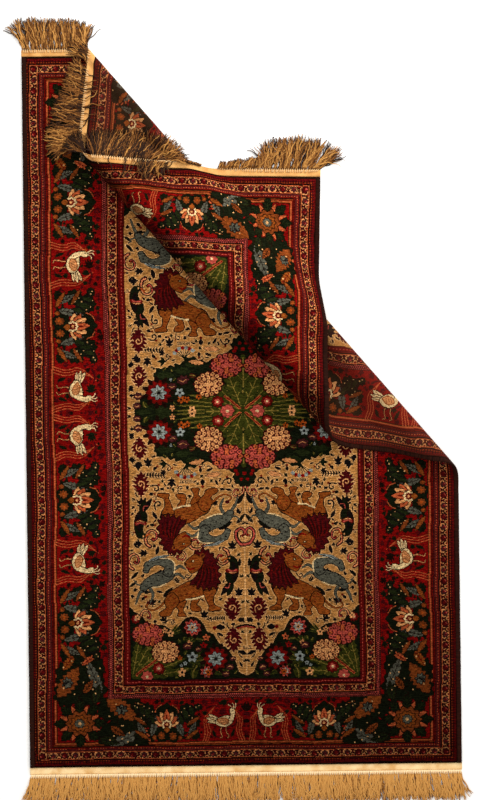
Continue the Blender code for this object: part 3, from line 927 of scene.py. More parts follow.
def medallion():
    """The centre flower bed, drawn about the quarter's inner corner."""
    cx, cy = HALF_X, HALF_Y
    for dx, dy, rx, ry in ((0, 0, 150, 186), (-130, 0, 120, 98), (-225, 0, 92, 86),
                           (-110, -70, 90, 92), (-205, -92, 70, 54)):
        blob(cx + dx, cy + dy, rx, ry, "umber", 0, 14, 0.06)
        blob(cx + dx, cy + dy, rx - 3, ry - 3, "green", 0, 14, 0.06)
    for dy, reach in ((-6, 214), (-22, 205), (-38, 190), (-54, 168), (-70, 146)):
        leaf_fan(cx - 66, cy + dy * 0.6, cx - reach, cy + dy, 15)
    for dx, dy, size in ((-248, -6, 40), (-296, -8, 34), (-236, -116, 36), (-180, -130, 34),
                         (-150, -150, 34), (-300, 0, 30)):
        blob(cx + dx, cy + dy, size, size * 0.62, "green", 0.4, 7, 0.12)
        leaf(cx + dx - size * 0.8, cy + dy, cx + dx + size * 0.8, cy + dy, size * 0.7, "leaf", 5)
    for angle, reach, wide in ((270, 184, 66), (225, 130, 60), (248, 152, 48), (180, 122, 44),
                               (205, 126, 42)):
        a = math.radians(angle)
        leaf(cx, cy, cx + reach * math.cos(a), cy + reach * math.sin(a), wide, "olive", 7, "lime", "green")
    bars(cx, cy, 225, 12, 76)
    blossom(cx - 50, cy - 142, 47, "rose", "umber", 0.78)
    blossom(cx - 104, cy - 86, 42, "peach", "navy", 0.90)
    button(cx - 75, cy - 30, 16)
    button(cx - 46, cy, 19, "rose")
    star_flower(cx - 255, cy - 62, 40)
    for dx, dy, r, petal in ((-152, -6, 12, "peach"), (-186, -40, 12, "orange"),
                             (-168, -38, 10, "orange"), (-190, -62, 14, "mist"),
                             (-132, -46, 9, "orange"), (-214, -14, 9, "cream")):
        daisy(cx + dx, cy + dy, r, petal)
    for dx, dy, r in ((-182, -100, 20), (-214, -82, 15), (-318, -50, 15), (-322, -20, 13)):
        pod(cx + dx, cy + dy, r)
    for dx, dy in ((-140, -156), (-92, -196)):
        leaf(cx + dx + 20, cy + dy + 3, cx + dx - 26, cy + dy - 3, 16, "cream", 4, edge="umber")
    seed_head(cx - 176, cy - 168)
    cup(cx, cy - 206)


def seed_head(x, y):
    """A spray of thin stalks that end in red and grey beads."""
    for k in range(7):
        a = math.radians(200 + 20 * k)
        bx, by = x + 32 * math.cos(a), y - 10 + 24 * math.sin(a)
        stroke([(x, y), (bx, by)], 2.3, "green")
        blob(bx, by, 6.0, 6.0, "red" if k % 2 else "mist", 0, 5, 0.15)


def cup(x, y):
    """A dark green cup with red dots, on the centre line."""
    blob(x, y, 36, 30, "umber", 0, 10, 0.06)
    blob(x, y, 33, 27, "green", 0, 10, 0.08)
    for dx, dy in ((-22, 10), (-10, -6), (-2, 12), (-26, 20)):
        blob(x + dx, y + dy, 5.2, 5.2, "red")


# %% Corner pieces
def corner_piece():
    """The green bed in the field's corner, with a stepped outline towards the centre."""
    fx, _, fy, _ = extent("field")
    steps = ((-6, 206), (17, 206), (39, 188), (56, 170), (97, 168), (128, 152), (150, 166), (169, 188),
             (197, 192), (219, 176), (232, 148), (250, 138), (269, 108), (288, 92), (308, 66), (320, 40),
             (328, 18), (332, -6), (-6, -6))
    outline([(fx + dx, fy + dy) for dx, dy in steps], "green", "umber")
    for angle, reach in ((12, 200), (25, 190), (38, 180), (52, 170), (66, 176), (80, 190)):
        a = math.radians(angle)
        leaf(fx + 4, fy + 4, fx + reach * math.cos(a), fy + reach * math.sin(a) * 0.82, 30,
             "olive", 8, "lime")
    bars(fx, fy, 42, 24, 104)
    for dx, dy, size, turn in ((200, 60, 1.0, 20), (228, 40, 0.95, -10), (262, 24, 0.85, 10),
                               (180, 120, 0.85, 60), (136, 150, 0.75, 30), (286, 18, 0.6, 0)):
        m = Motif(fx + dx, fy + dy, size, turn)
        for k in range(5):
            m.leaf(-24, 0, 26, -20 + 10 * k, 11, "leaf" if k % 2 else "olive", teeth=5)
            m.stroke([(-18, 0), (20, -17 + 9 * k)], THIN, "lime" if k % 2 else "green")
    blossom(fx + 52, fy + 139, 46, "rose", "umber", 0.74)
    blossom(fx + 106, fy + 86, 41, "peach", "navy", 0.78)
    star_flower(fx + 258, fy + 62, 38)
    star_flower(fx + 232, fy + 22, 19, "rose", "cream", 8)
    star_flower(fx + 190, fy + 160, 27, "rose", "cream", 9)
    button(fx + 86, fy + 34, 17)
    button(fx + 50, fy + 8, 17, "rose")
    button(fx + 16, fy + 186, 13)
    for dx, dy, r, petal in ((188, 68, 16, "mist"), (156, 22, 13, "peach"), (22, 192, 9, "peach"),
                             (122, 142, 11, "peach"), (104, 152, 9, "cream"), (176, 108, 12, "cream"),
                             (222, 104, 10, "red"), (236, 20, 10, "orange"), (150, 66, 8, "orange")):
        daisy(fx + dx, fy + dy, r, petal)
    for dx, dy, r in ((172, 102, 15), (302, 34, 13), (310, 60, 10), (206, 92, 11), (290, 14, 12)):
        pod(fx + dx, fy + dy, r)


# %% [markdown]
# ## Animals of the field
#
# Lions with burgundy manes, slate ibexes and dark birds walk among the leaves. Each is drawn
# once in its own frame, with its back at the top, from smooth outlines in one dye edged with
# another, and then turned and put in place.


# %% Animals
def tail(m, points, wide, dye):
    m.stroke(points, wide + 3.4, "umber", wide)
    m.stroke(points, wide, dye, wide - 2.4)


def lion(m):
    """A lion that looks back over its shoulder: flame mane, sloping back, freckled coat."""
    tail(m, [(-66, -28), (-86, -56), (-112, -70), (-132, -62), (-126, -48)], 6.0, "ochre")
    m.blob(-122, -46, 8, 6, "burgundy")
    for leg in ([(-36, -36), (-44, -56), (-32, -72), (-36, -90), (-10, -90), (-18, -70), (-8, -40)],
                [(16, -26), (6, -46), (4, -66), (14, -76), (36, -74), (30, -60), (22, -54), (34, -32)]):
        m.outline(leg, "ochre")
    m.outline([(86, 6), (52, 22), (10, 22), (-16, 12), (-44, -4), (-66, -18), (-72, -38), (-60, -52),
               (-36, -50), (-10, -38), (26, -30), (50, -28), (76, -26)], "ochre")
    for leg in ([(-50, -16), (-70, -28), (-76, -48), (-72, -64), (-92, -78), (-88, -90), (-60, -88),
                 (-50, -70), (-36, -56), (-32, -36)],
                [(44, -12), (50, -38), (60, -60), (58, -74), (92, -76), (94, -66), (76, -58), (72, -36),
                 (82, -10)]):
        m.outline(leg, "ochre")
    m.stroke([(-8, -38), (18, -36), (44, -27)], 4.8, "ivory")
    for x, y in ((-2, 8), (-22, 2), (-40, -10), (-58, -26), (-64, -40), (-44, -34), (-24, -26), (-6, -20),
                 (12, -16), (30, -18), (-68, -66), (-54, -60), (62, -44), (68, -58), (-26, -62), (-26, -80),
                 (22, -64), (-30, -44), (2, -28), (64, -24), (-12, -8), (14, 4), (-46, -48)):
        m.stroke([(x - 2, y - 2), (x + 3, y + 1)], 2.5, "brick")
    m.outline([(18, 108), (26, 118), (34, 112), (42, 125), (50, 114), (60, 118), (64, 106), (77, 105),
               (76, 92), (90, 84), (84, 70), (97, 60), (89, 48), (100, 36), (90, 24), (96, 8), (84, 8),
               (82, -9), (71, 1), (62, -12), (54, 1), (44, -11), (37, 3), (24, -6), (21, 9), (4, 7), (10, 24),
               (20, 34), (30, 50), (34, 70), (30, 90)], "burgundy")
    for k in range(10):
        m.stroke([(44 + 2.4 * k, 72 - k), (34 + 5.4 * k, 34 + 2.4 * k), (14 + 8.2 * k, 2 + 0.25 * k * k)],
                 2.8, ("umber", "brick")[k % 2], 2.1)
    for x, y in ((30, 110), (42, 115), (54, 108), (66, 98), (78, 86), (80, 70), (86, 54)):
        m.stroke([(x - 9, y - 14), (x, y - 2)], 2.6, "brick", 2.1)
    m.outline([(36, 98), (20, 105), (4, 95), (-9, 84), (-13, 75), (-6, 65), (1, 52), (10, 45), (22, 50),
               (36, 60), (45, 74), (44, 88)], "ochre")
    m.blob(42, 98, 7, 8, "ochre")
    m.blob(42, 98, 3.4, 4.4, "burgundy")
    m.blob(14, 84, 5.4, 3.8, "umber")
    m.blob(14, 84, 2.2, 1.8, "ivory")
    m.stroke([(2, 95), (14, 91), (24, 94)], 2.4, "brick")
    m.stroke([(-6, 63), (6, 58), (18, 62)], 5.0, "red")
    m.stroke([(-9, 84), (4, 78)], 2.3, "rust")
    m.stroke([(26, 56), (34, 64), (36, 76)], 2.4, "brick")
    m.blob(-10, 76, 3.8, 3.2, "umber")


def ibex(m):
    """A springing ibex, its neck arched back over a spotted flank."""
    for leg in ([(-48, -26), (-66, -54), (-76, -84)], [(-34, -24), (-20, -52), (-30, -80)],
                [(38, 6), (64, 18), (86, 2)], [(44, 26), (70, 44), (90, 34)]):
        m.stroke(leg, 15, "umber", 7.0)
        m.stroke(leg, 11, "slate", 3.6)
    m.outline([(-54, -8), (-26, 14), (8, 26), (34, 46), (50, 34), (50, 6), (26, -12), (0, -22), (-30, -26),
               (-46, -40), (-64, -34)], "slate", "navy")
    m.outline([(50, 24), (52, 50), (38, 66), (8, 68), (-20, 64), (-42, 58), (-50, 40), (-52, 26), (-38, 22),
               (-28, 38), (-10, 48), (10, 46), (20, 36), (14, 20), (34, 8)], "slate", "navy")
    for horn in ([(-30, 62), (-6, 76), (34, 80)], [(-18, 64), (6, 74), (30, 70)]):
        m.stroke(horn, 7.0, "umber", 5.0)
        m.stroke(horn, 3.6, "mist", 2.1)
    tail(m, [(-58, -22), (-74, -18), (-84, -4)], 4.4, "slate")
    m.stroke([(6, 70), (36, 69), (54, 52), (52, 20)], 3.4, "ivory")
    m.stroke([(-24, -28), (0, -25), (24, -15)], 4.0, "ivory")
    m.blob(-36, 48, 3.2, 3.0, "navy")
    m.stroke([(-50, 30), (-42, 30)], 2.6, "navy")
    for k in range(15):
        m.blob(-44 + 6.2 * k, -24 + 3.6 * k + 13 * (k % 3), 2.7, 2.2, "navy")
    for x, y in ((40, 52), (22, 58), (0, 57), (-20, 54), (42, 34)):
        m.blob(x, y, 2.4, 2.0, "navy")


def bird(m):
    """A plump dark bird with a rose wing bar and a long tail, beak to the left."""
    m.leaf(0, -24, -36, -72, 16, "navy", edge="umber")
    m.leaf(4, -20, -14, -74, 15, "green", edge="umber")
    m.outline([(-8, 58), (6, 62), (20, 46), (24, 14), (18, -16), (0, -34), (-16, -24), (-20, 0), (-8, 16),
               (-4, 34)], "green", "umber")
    m.outline([(4, 40), (14, 26), (18, -8), (6, -22), (2, 4)], "navy")
    m.blob(-4, 54, 13, 11, "green")
    m.blob(-6, 56, 2.8, 2.8, "peach")
    m.stroke([(-15, 54), (-26, 48), (-24, 40)], 5.0, "orange", 2.4)
    m.stroke([(-12, 12), (4, 6), (18, 12)], 13, "brick")
    m.stroke([(-10, 14), (4, 9), (16, 14)], 5.0, "rose")
    m.stroke([(-8, 7), (4, 3), (16, 6)], 2.4, "peach")
    m.stroke([(-6, -32), (-10, -46), (-22, -46)], 2.8, "rose")


def animals():
    """Their places, from the middle of the field, and their size and turn."""
    for draw, dx, dy, size, turn in ((lion, -172, -326, 0.98, 180), (lion, -169, -546, 1.0, 0),
                                     (ibex, -92, -344, 0.92, 180), (ibex, -262, -520, 0.92, 0),
                                     (bird, -316, -334, 0.92, 180), (bird, -40, -508, 0.92, 0)):
        draw(Motif(HALF_X + dx, HALF_Y + dy, size, turn))


# %% [markdown]
# ## Small motifs of the ground
#
# Toothed palmettes and hooked scrolls have their places listed. The rest of the beige ground
# is strewn with dark leaf sprigs: large ones are tried first at many random places, then
# smaller ones, and one is drawn only where the ground is still free. The seed is fixed.


# %% Palmettes, scrolls and sprigs
def palmette(m):
    """Six pairs of pointed leaves about a burgundy heart with a pale hook."""
    for half, y in ((12, -28), (22, -18), (28, -6), (27, 6), (22, 18), (13, 27)):
        for side in (-half, half):
            m.leaf(side * 0.2, y - 4, side, y + 6, 11, "burgundy", edge="halo")
    m.leaf(0, 16, 0, 42, 11, "burgundy")
    m.leaf(0, -40, 0, -18, 9, "burgundy")
    m.blob(0, 0, 17, 27, "burgundy", 0, 9, 0.08)
    for side in (-1, 1):
        m.stroke([(side * 6, -16), (side * 16, -6)], 2.2, "brick")
        m.stroke([(side * 7, 14), (side * 15, 22)], 2.2, "brick")
    m.stroke([(8, -12), (10, 3), (-1, 11), (-8, 3), (-3, -4), (2, 1)], 3.0, "peach")


def scroll(m):
    """A hook that winds in on itself: umber edge, rose body, peach inner line, small barbs."""
    curl = [(-4, -25), (-15, -16), (-18, 2), (-13, 18), (0, 25), (12, 18), (15, 4), (8, -6), (1, -2)]
    m.stroke(curl, 13.5, "umber", 9.0)
    m.stroke(curl, 5.6, "rose", 3.0)
    m.stroke(curl[:6], 2.4, "peach")
    for x, y in ((-8, -10), (-9, 2), (-6, 12), (2, 15)):
        m.stroke([(x - 2, y), (x + 4, y - 3)], 2.2, "brick")
    m.blob(3, 0, 4.4, 3.8, "brick")


def comb(m):
    """A thin stalk with a row of slanting dark barbs."""
    m.stroke([(-34, 0), (34, 0)], 2.4, "navy")
    for k in range(8):
        m.leaf(-30 + 8.4 * k, -1, -24 + 8.4 * k, 10, 5.4, "navy")
        m.leaf(-30 + 8.4 * k, 1, -24 + 8.4 * k, -9, 4.6, "navy")


def bar(m):
    """A dark spindle with a green core, about 42 long."""
    m.leaf(-21, 0, 21, 0, 14, "navy", edge="halo")
    m.stroke([(-10, 0), (10, 0)], 3.0, "green")


def trefoil(m):
    """Three dark leaves on a short stalk, with a second pair below."""
    for x, y, wide in ((0, 19, 11), (-15, 12, 9.5), (15, 12, 9.5)):
        m.leaf(0, -5, x, y, wide, "navy")
    for side in (-14, 14):
        m.leaf(0, -10, side, -5, 7, "navy")
    m.stroke([(0, -17), (0, 4)], 3.0, "navy")


def heart_scroll(m):
    """Half of a heart on the centre line; the mirrored quarter gives the other half."""
    half = [(0, -24), (-14, -20), (-26, -2), (-26, 18), (-14, 28), (-3, 20), (-4, 8), (-12, 4)]
    m.stroke(half, 14.5, "umber", 10.0)
    m.stroke(half, 6.4, "rose", 3.4)
    m.stroke([(0, -14), (-8, -6), (-13, 12)], 2.6, "peach")
    m.blob(-8, 6, 4, 4, "brick")


def bracket(m):
    """Half of a flat dark bracket with red scallops over the neck of the ground."""
    m.stroke([(0, 0), (-22, -4), (-42, -14), (-56, -4), (-58, 6)], 9.0, "umber", 4.0)
    m.stroke([(0, -5), (-22, -9), (-40, -17)], 4.0, "red")
    m.stroke([(0, -3), (-20, -7)], 2.2, "rose")


def sprig(m, kind, dye):
    """Six kinds of leaf, each about 20 long."""
    if kind == 0:
        m.stroke([(-9, 0), (9, 0)], 3.0, dye)
        for k in (-7, -1, 5):
            m.leaf(k, 0, k + 6, 9, 5.6, dye)
            m.leaf(k, 0, k + 6, -9, 5.6, dye)
    if kind == 1:
        m.leaf(-11, -3, 11, 4, 10.0, dye)
        m.stroke([(-11, -4), (-2, -9), (8, -9)], 2.8, dye)
    if kind == 2:
        m.leaf(0, -10, 0, 12, 9, dye)
        m.leaf(0, -6, -11, 4, 7.5, dye)
        m.leaf(0, -6, 11, 4, 7.5, dye)
    if kind == 3:
        m.stroke([(-10, -6), (-3, 4), (6, 5), (10, -1), (5, -6), (1, -2)], 3.8, dye)
        m.blob(2, 10, 3, 3, "brick")
    if kind == 4:
        m.leaf(-10, -6, 10, 6, 9.0, dye)
    if kind == 5:
        m.leaf(-10, 0, 8, 0, 11.0, dye)
        m.blob(9, 0, 3.8, 3.8, "brick")


def strew_sprigs():
    """Sprigs from 34 mm down to 13 mm, each only on free ground."""
    rng = np.random.default_rng(11)
    fx, _, fy, _ = extent("field")
    for size, tries in ((34, 1500), (27, 2200), (20, 2200), (13, 1600)):
        xs = rng.uniform(fx + size * 0.5, HALF_X - size * 0.42, tries)
        ys = rng.uniform(fy + size * 0.5, HALF_Y - size * 0.5, tries)
        kinds = rng.integers(0, 6, tries)
        turns = rng.integers(0, 8, tries) * 45.0
        for x, y, kind, turn in zip(xs, ys, kinds, turns):
            if ground_is_free(x, y, size * 0.56):
                sprig(Motif(x, y, size / 21, turn), kind, "green" if kind == 2 else "navy")


def foliage():
    """Sprays of thin leaves and small flowers, each only where a bed is still plain green."""
    rng = np.random.default_rng(31)
    fx, _, fy, _ = extent("field")
    for size, tries in ((30, 1500), (20, 2200), (13, 1800)):
        xs = rng.uniform(fx + size * 0.4, HALF_X, tries)
        ys = rng.uniform(fy + size * 0.4, HALF_Y, tries)
        kinds = rng.integers(0, 6, tries)
        for x, y, kind, turn in zip(xs, ys, kinds, rng.uniform(0, 360, tries)):
            if not ground_is_free(x, y, size * 0.46, "green"):
                continue
            m = Motif(x, y, size / 21, turn)
            if kind < 4:
                for k in (-9, -4, 1, 6):
                    m.leaf(-10, k * 0.4, 11, k, 4.4, ("olive", "leaf", "burgundy", "olive")[kind])
                m.stroke([(-10, 0), (2, 2), (10, -1)], THIN, "lime")
                m.stroke([(-8, -1), (3, -5)], THIN, "olive")
            else:
                petal = ("salmon", "mist", "rose", "orange")[(kind + int(turn)) % 4]
                daisy(x, y, size * 0.34, petal, "umber")


ORNAMENTS = (
    # drawing, then places from the middle of the field: aside, up, size, turn
    (palmette, ((-316, -112, 0.92, 180), (-316, -224, 1.0, 0), (-40, -616, 1.0, 0), (-40, -712, 1.0, 180))),
    (comb, ((-276, -196, 1.0, 0), (-90, -646, 0.82, 0), (-176, -214, 0.6, 180))),
    (scroll, ((-284, -392, 1.0, 0), (-142, -408, 0.95, 100), (-66, -452, 1.0, 180), (-200, -446, 0.85, 270),
              (-336, -466, 0.95, 0), (-300, -640, 0.9, 30), (-20, -250, 0.7, 140))),
    (heart_scroll, ((0, -392, 1.0, 0),)),
    (bracket, ((0, -668, 1.0, 0),)),
    (trefoil, ((-316, -282, 1.0, 0), (-222, -218, 0.9, 180), (-124, -632, 0.85, 0), (-20, -566, 0.9, 0),
               (-308, -438, 0.8, 90), (-38, -418, 0.9, 0), (-90, -284, 0.6, 0), (-282, -592, 0.8, 0),
               (-248, -648, 0.8, 20), (-292, -158, 0.9, 0), (-246, -186, 0.6, 40))),
    (bar, ((-112, -306, 1.0, 50), (-234, -560, 1.0, 45), (-336, -508, 0.8, 45), (-340, -536, 0.7, 40),
           (-12, -334, 0.9, 50), (-12, -272, 1.0, 60), (-58, -354, 1.2, 30), (-226, -502, 0.9, 50),
           (-262, -500, 0.8, 35), (-330, -250, 0.7, 100), (-180, -392, 0.8, 20), (-14, -470, 0.7, 90),
           (-300, -560, 0.7, 0))),
)


def ornaments():
    """Draws each at its places, and only over ground."""
    for draw, places in ORNAMENTS:
        for dx, dy, size, turn in places:
            before = quarter.copy()
            draw(Motif(HALF_X + dx, HALF_Y + dy, size, turn))
            quarter[:] = np.where(before == DYE["beige"], quarter, before)


# %% [markdown]
# ## The whole chart
#
# Field, main border and the narrow bands are drawn one after the other on the same quarter and
# each kept within its own band. A pale knot is tied wherever the ground meets a dark motif,
# which lifts the motifs off the ground. The quarter is mirrored twice, and because no weaver
# beats every row alike, the lines wander by a knot or two.


# %% Draw the quarter
def draw_quarter():
    """Field, main border and guards, each within its band."""
    number = lay_bands()
    medallion()
    corner_piece()
    foliage()
    animals()
    ornaments()
    strew_sprigs()
    dark = np.isin(quarter, [DYE[name] for name in ("umber", "navy", "green", "burgundy", "rust")])
    beside = dark.copy()
    for axis in (0, 1):
        for shift in (-1, 1):
            beside |= np.roll(dark, shift, axis)
    quarter[(quarter == DYE["beige"]) & beside] = DYE["halo"]
    field = quarter.copy()
    lay_bands()
    main_border()
    border = quarter.copy()
    lay_bands()
    pin_stripes()
    guard("guard")
    guard("inner guard")
    inside = number >= BAND_NAMES.index("field")
    on_main = number == BAND_NAMES.index("main")
    quarter[:] = np.where(inside, field, np.where(on_main, border, quarter))


# Pairs in mm: a place across the rug and the shift to the right there, a place along it and the
# shift towards the head, and a place along it and the share of a shift to the left made there.
DRIFT_ASIDE = ((0, -12.0), (240, -11.0), (307, -7.0), (659, 6.0), (1011, 4.5), (1150, 0.0), (1319, 2.0))
DRIFT_UP = ((0, 0.0), (70, -3.0), (278, -6.0), (1110, -5.0), (1942, 0.0), (2220, 0.0))
LEFT_SHARE = ((0, 0.75), (200, 0.72), (750, 0.30), (1200, 0.60), (1560, 1.0), (2220, 1.0))


def whole_chart():
    """Mirrors the quarter, then reads it at places that drift and wander by sums of slow sines."""
    lower = np.concatenate((quarter, quarter[:, ::-1]), 1)
    chart = np.concatenate((lower, lower[::-1]), 0)
    row, column = np.mgrid[0:KNOTS_LONG, 0:KNOTS_WIDE].astype(float)
    aside = 0.8 * np.sin(row / 37) + 0.35 * np.sin(row / 13 + column / 90) + 0.4 * np.sin(column / 51 + 2)
    upward = 0.7 * np.sin(column / 33 + 1) + 0.3 * np.sin(column / 11 + row / 70) + 0.4 * np.sin(row / 47)
    pitch = 2 * HALF_X / KNOTS_WIDE
    drift = np.interp(column * pitch, *zip(*DRIFT_ASIDE))
    left_share = np.interp(row * pitch, *zip(*LEFT_SHARE))
    aside -= np.where(drift < 0, drift * left_share, drift) / pitch
    upward -= np.interp(row * pitch, *zip(*DRIFT_UP)) / pitch
    column = np.clip(np.rint(column + aside), 0, KNOTS_WIDE - 1).astype(int)
    row = np.clip(np.rint(row + upward), 0, KNOTS_LONG - 1).astype(int)
    return chart[row, column]


draw_quarter()
chart = whole_chart()
print("chart of", chart.shape, "knots in", len(np.unique(chart)), "dyes")

# %% [markdown]
# ## The knotted cloth
#
# The rug's pile and its back are one closed sheet, 9 mm thick: an upper grid, an under grid and
# a rim. Colour could come from one vertex for each knot, but that would take millions of faces.
# Instead each face carries the numbers of its own 4 by 4 knots: four numbers, one for each row,
# and in each of them four dyes as the digits of base 32. The material reads the digit that lies
# under the point it shades. The same knots show on the back, as they do on a real rug.

# %% The folded sheet
FACE_KNOTS = 4                              # knots along each side of a face
COLUMNS = KNOTS_WIDE // FACE_KNOTS
ROWS = KNOTS_LONG // FACE_KNOTS
BASE = 32
PILE_START = SELVEDGE_WIDTH - 0.0015        # a little under the cord
PILE_SUNK = 0.0012                          # the pile's ends lie this far inside the CAD model
EDGE_WEAR = 0.0016                          # and this much further at the very edge
WEAR_REACH = 0.006


def soft_relief(u, v):
    """Slow swells of a used rug, under 2 mm: a sum of sines that cross at different angles."""
    swell = np.sin(u * 11 + v * 3 + 1) + np.sin(v * 9 - u * 4) + 0.6 * np.sin(u * 23 + v * 17 + 2)
    return 0.0006 * swell


def make_cloth():
    """Folds both grids, and gives each face its knots and each point its place past the roll."""
    u = np.linspace(PILE_START, RUG_WIDTH - PILE_START, COLUMNS + 1)
    v = np.linspace(0.0, PILE_LENGTH, ROWS + 1)
    v[0], v[-1] = SEAM, PILE_LENGTH - SEAM
    uu, vv = np.meshgrid(u, v)
    to_edge = np.minimum(np.minimum(uu - u[0], u[-1] - uu), np.minimum(vv - v[0], v[-1] - vv))
    worn = EDGE_WEAR * np.exp(-to_edge / WEAR_REACH) + PILE_SUNK + soft_relief(uu, vv) * (to_edge > 0.02)
    flat = np.concatenate([np.stack(np.broadcast_arrays(uu, vv, w), -1).reshape(-1, 3)
                           for w in (HALF - worn, -HALF)])
    points, past_roll = fold(flat, with_roll=True)
    faces = np.concatenate(sheet_faces(ROWS + 1, COLUMNS + 1))
    place = flat[:, :2][faces]
    piece = make_piece("rug_cloth", points, faces, "rug_pile", uv=place)
    mesh = piece.data
    middle = place.mean(1)
    column = np.clip(((middle[:, 0] - u[0]) / (u[1] - u[0])).astype(int), 0, COLUMNS - 1)
    row = np.clip((middle[:, 1] / (PILE_LENGTH / ROWS)).astype(int), 0, ROWS - 1)
    blocks = chart.reshape(ROWS, FACE_KNOTS, COLUMNS, FACE_KNOTS).transpose(0, 2, 1, 3)
    packed = (blocks * BASE ** np.arange(FACE_KNOTS)).sum(-1)[row, column]
    for k in range(FACE_KNOTS):
        layer = mesh.attributes.new(f"knot row {k}", "FLOAT", "FACE")
        layer.data.foreach_set("value", packed[:, k].astype(np.float32))
    roll = mesh.attributes.new("past roll", "FLOAT", "POINT")
    roll.data.foreach_set("value", np.clip(past_roll, -1.0, 1.0).astype(np.float32))
    along = mesh.attributes.new("along fold", "FLOAT", "POINT")
    along.data.foreach_set("value", (flat[:, :2] @ ALONG).astype(np.float32))
    step = np.array((u[1] - u[0], PILE_LENGTH / ROWS))
    corner = np.stack((u[column], row * step[1]), -1)[:, None]
    inside = np.clip((place - corner) / step, 0.0, 1.0)
    mesh.uv_layers.new(name="cell").uv.foreach_set("vector", inside.astype(np.float32).ravel())
    lay_out_for_baking(mesh, place, faces, uu.size)
    mesh.polygons.foreach_set("material_index", (faces.min(1) >= uu.size).astype(np.int32))
    return piece


def lay_out_for_baking(mesh, place, faces, upper_count):
    """A second layout for export: the pile on the left three fifths, the back on the right."""
    share = place / (RUG_WIDTH, PILE_LENGTH)
    on_back = (faces >= upper_count).all(1)[:, None]
    x = np.where(on_back, 0.61 + 0.38 * share[..., 0], 0.01 + 0.58 * share[..., 0])
    y = 0.01 + 0.98 * share[..., 1]
    layout = np.stack((x, y), -1).astype(np.float32)
    mesh.uv_layers.new(name="OFBake").uv.foreach_set("vector", layout.ravel())


rug = make_cloth()
print("cloth of", len(rug.data.polygons), "faces")

# %% [markdown]
# ## Reading the chart
#
# Both sides of the cloth show the same knots, so one function gives their colour, and two more
# give what they share: each knot has its own tone, and stands out a little from its neighbours.


# %% Read the knots
KNOT_PITCH = PILE_WIDE / KNOTS_WIDE
INSIDE = 0.9999                  # keeps a face's far edge within its last knot


def knot_colour(tree):
    """The dye under the point: the digit of its column in the number of its row, as a colour."""
    cell = add(tree, "UVMap", uv_map="cell")
    parts = add(tree, "SeparateXYZ", {0: cell.outputs["UV"]})
    column, row = (calc(tree, "FLOOR", calc(tree, "MULTIPLY", parts.outputs[axis], FACE_KNOTS * INSIDE))
                   for axis in "XY")
    number = 0.5
    for k in range(FACE_KNOTS):
        layer = add(tree, "Attribute", attribute_name=f"knot row {k}")
        here = calc(tree, "COMPARE", row, float(k), 0.5)
        number = calc(tree, "MULTIPLY_ADD", layer.outputs["Fac"], here, number)
    shifted = calc(tree, "DIVIDE", number, calc(tree, "POWER", float(BASE), column))
    digit = calc(tree, "MODULO", calc(tree, "FLOOR", shifted), float(BASE))
    share = calc(tree, "MULTIPLY_ADD", digit, 1 / BASE, 0.5 / BASE)
    ramp = add(tree, "ValToRGB", {0: share})
    ramp.color_ramp.interpolation = "CONSTANT"
    stops = ramp.color_ramp.elements
    stops[0].color = linear(DYES["beige"])
    stops.remove(stops[1])
    for name, index in list(DYE.items())[1:]:
        stops.new(index / BASE).color = linear(DYES[name])
    return ramp.outputs["Color"]


def knot_tone(tree, place, low, high):
    """White noise, one value for each knot."""
    knot = add(tree, "VectorMath", {0: place, 1: (KNOT_PITCH,) * 3}, operation="SNAP")
    lot = add(tree, "TexWhiteNoise", {"Vector": knot.outputs[0]}, noise_dimensions="2D")
    return ranged(tree, lot.outputs["Value"], 0.0, 1.0, low, high)


def knot_waves(tree, place):
    """Sines across and along the rug, with half a wave for each knot."""
    turned = add(tree, "VectorMath", {0: place, "Scale": math.pi / KNOT_PITCH}, operation="SCALE")
    wave = add(tree, "VectorMath", {0: turned.outputs[0]}, operation="SINE")
    split = add(tree, "SeparateXYZ", {0: wave.outputs[0]})
    return split.outputs["X"], split.outputs["Y"]
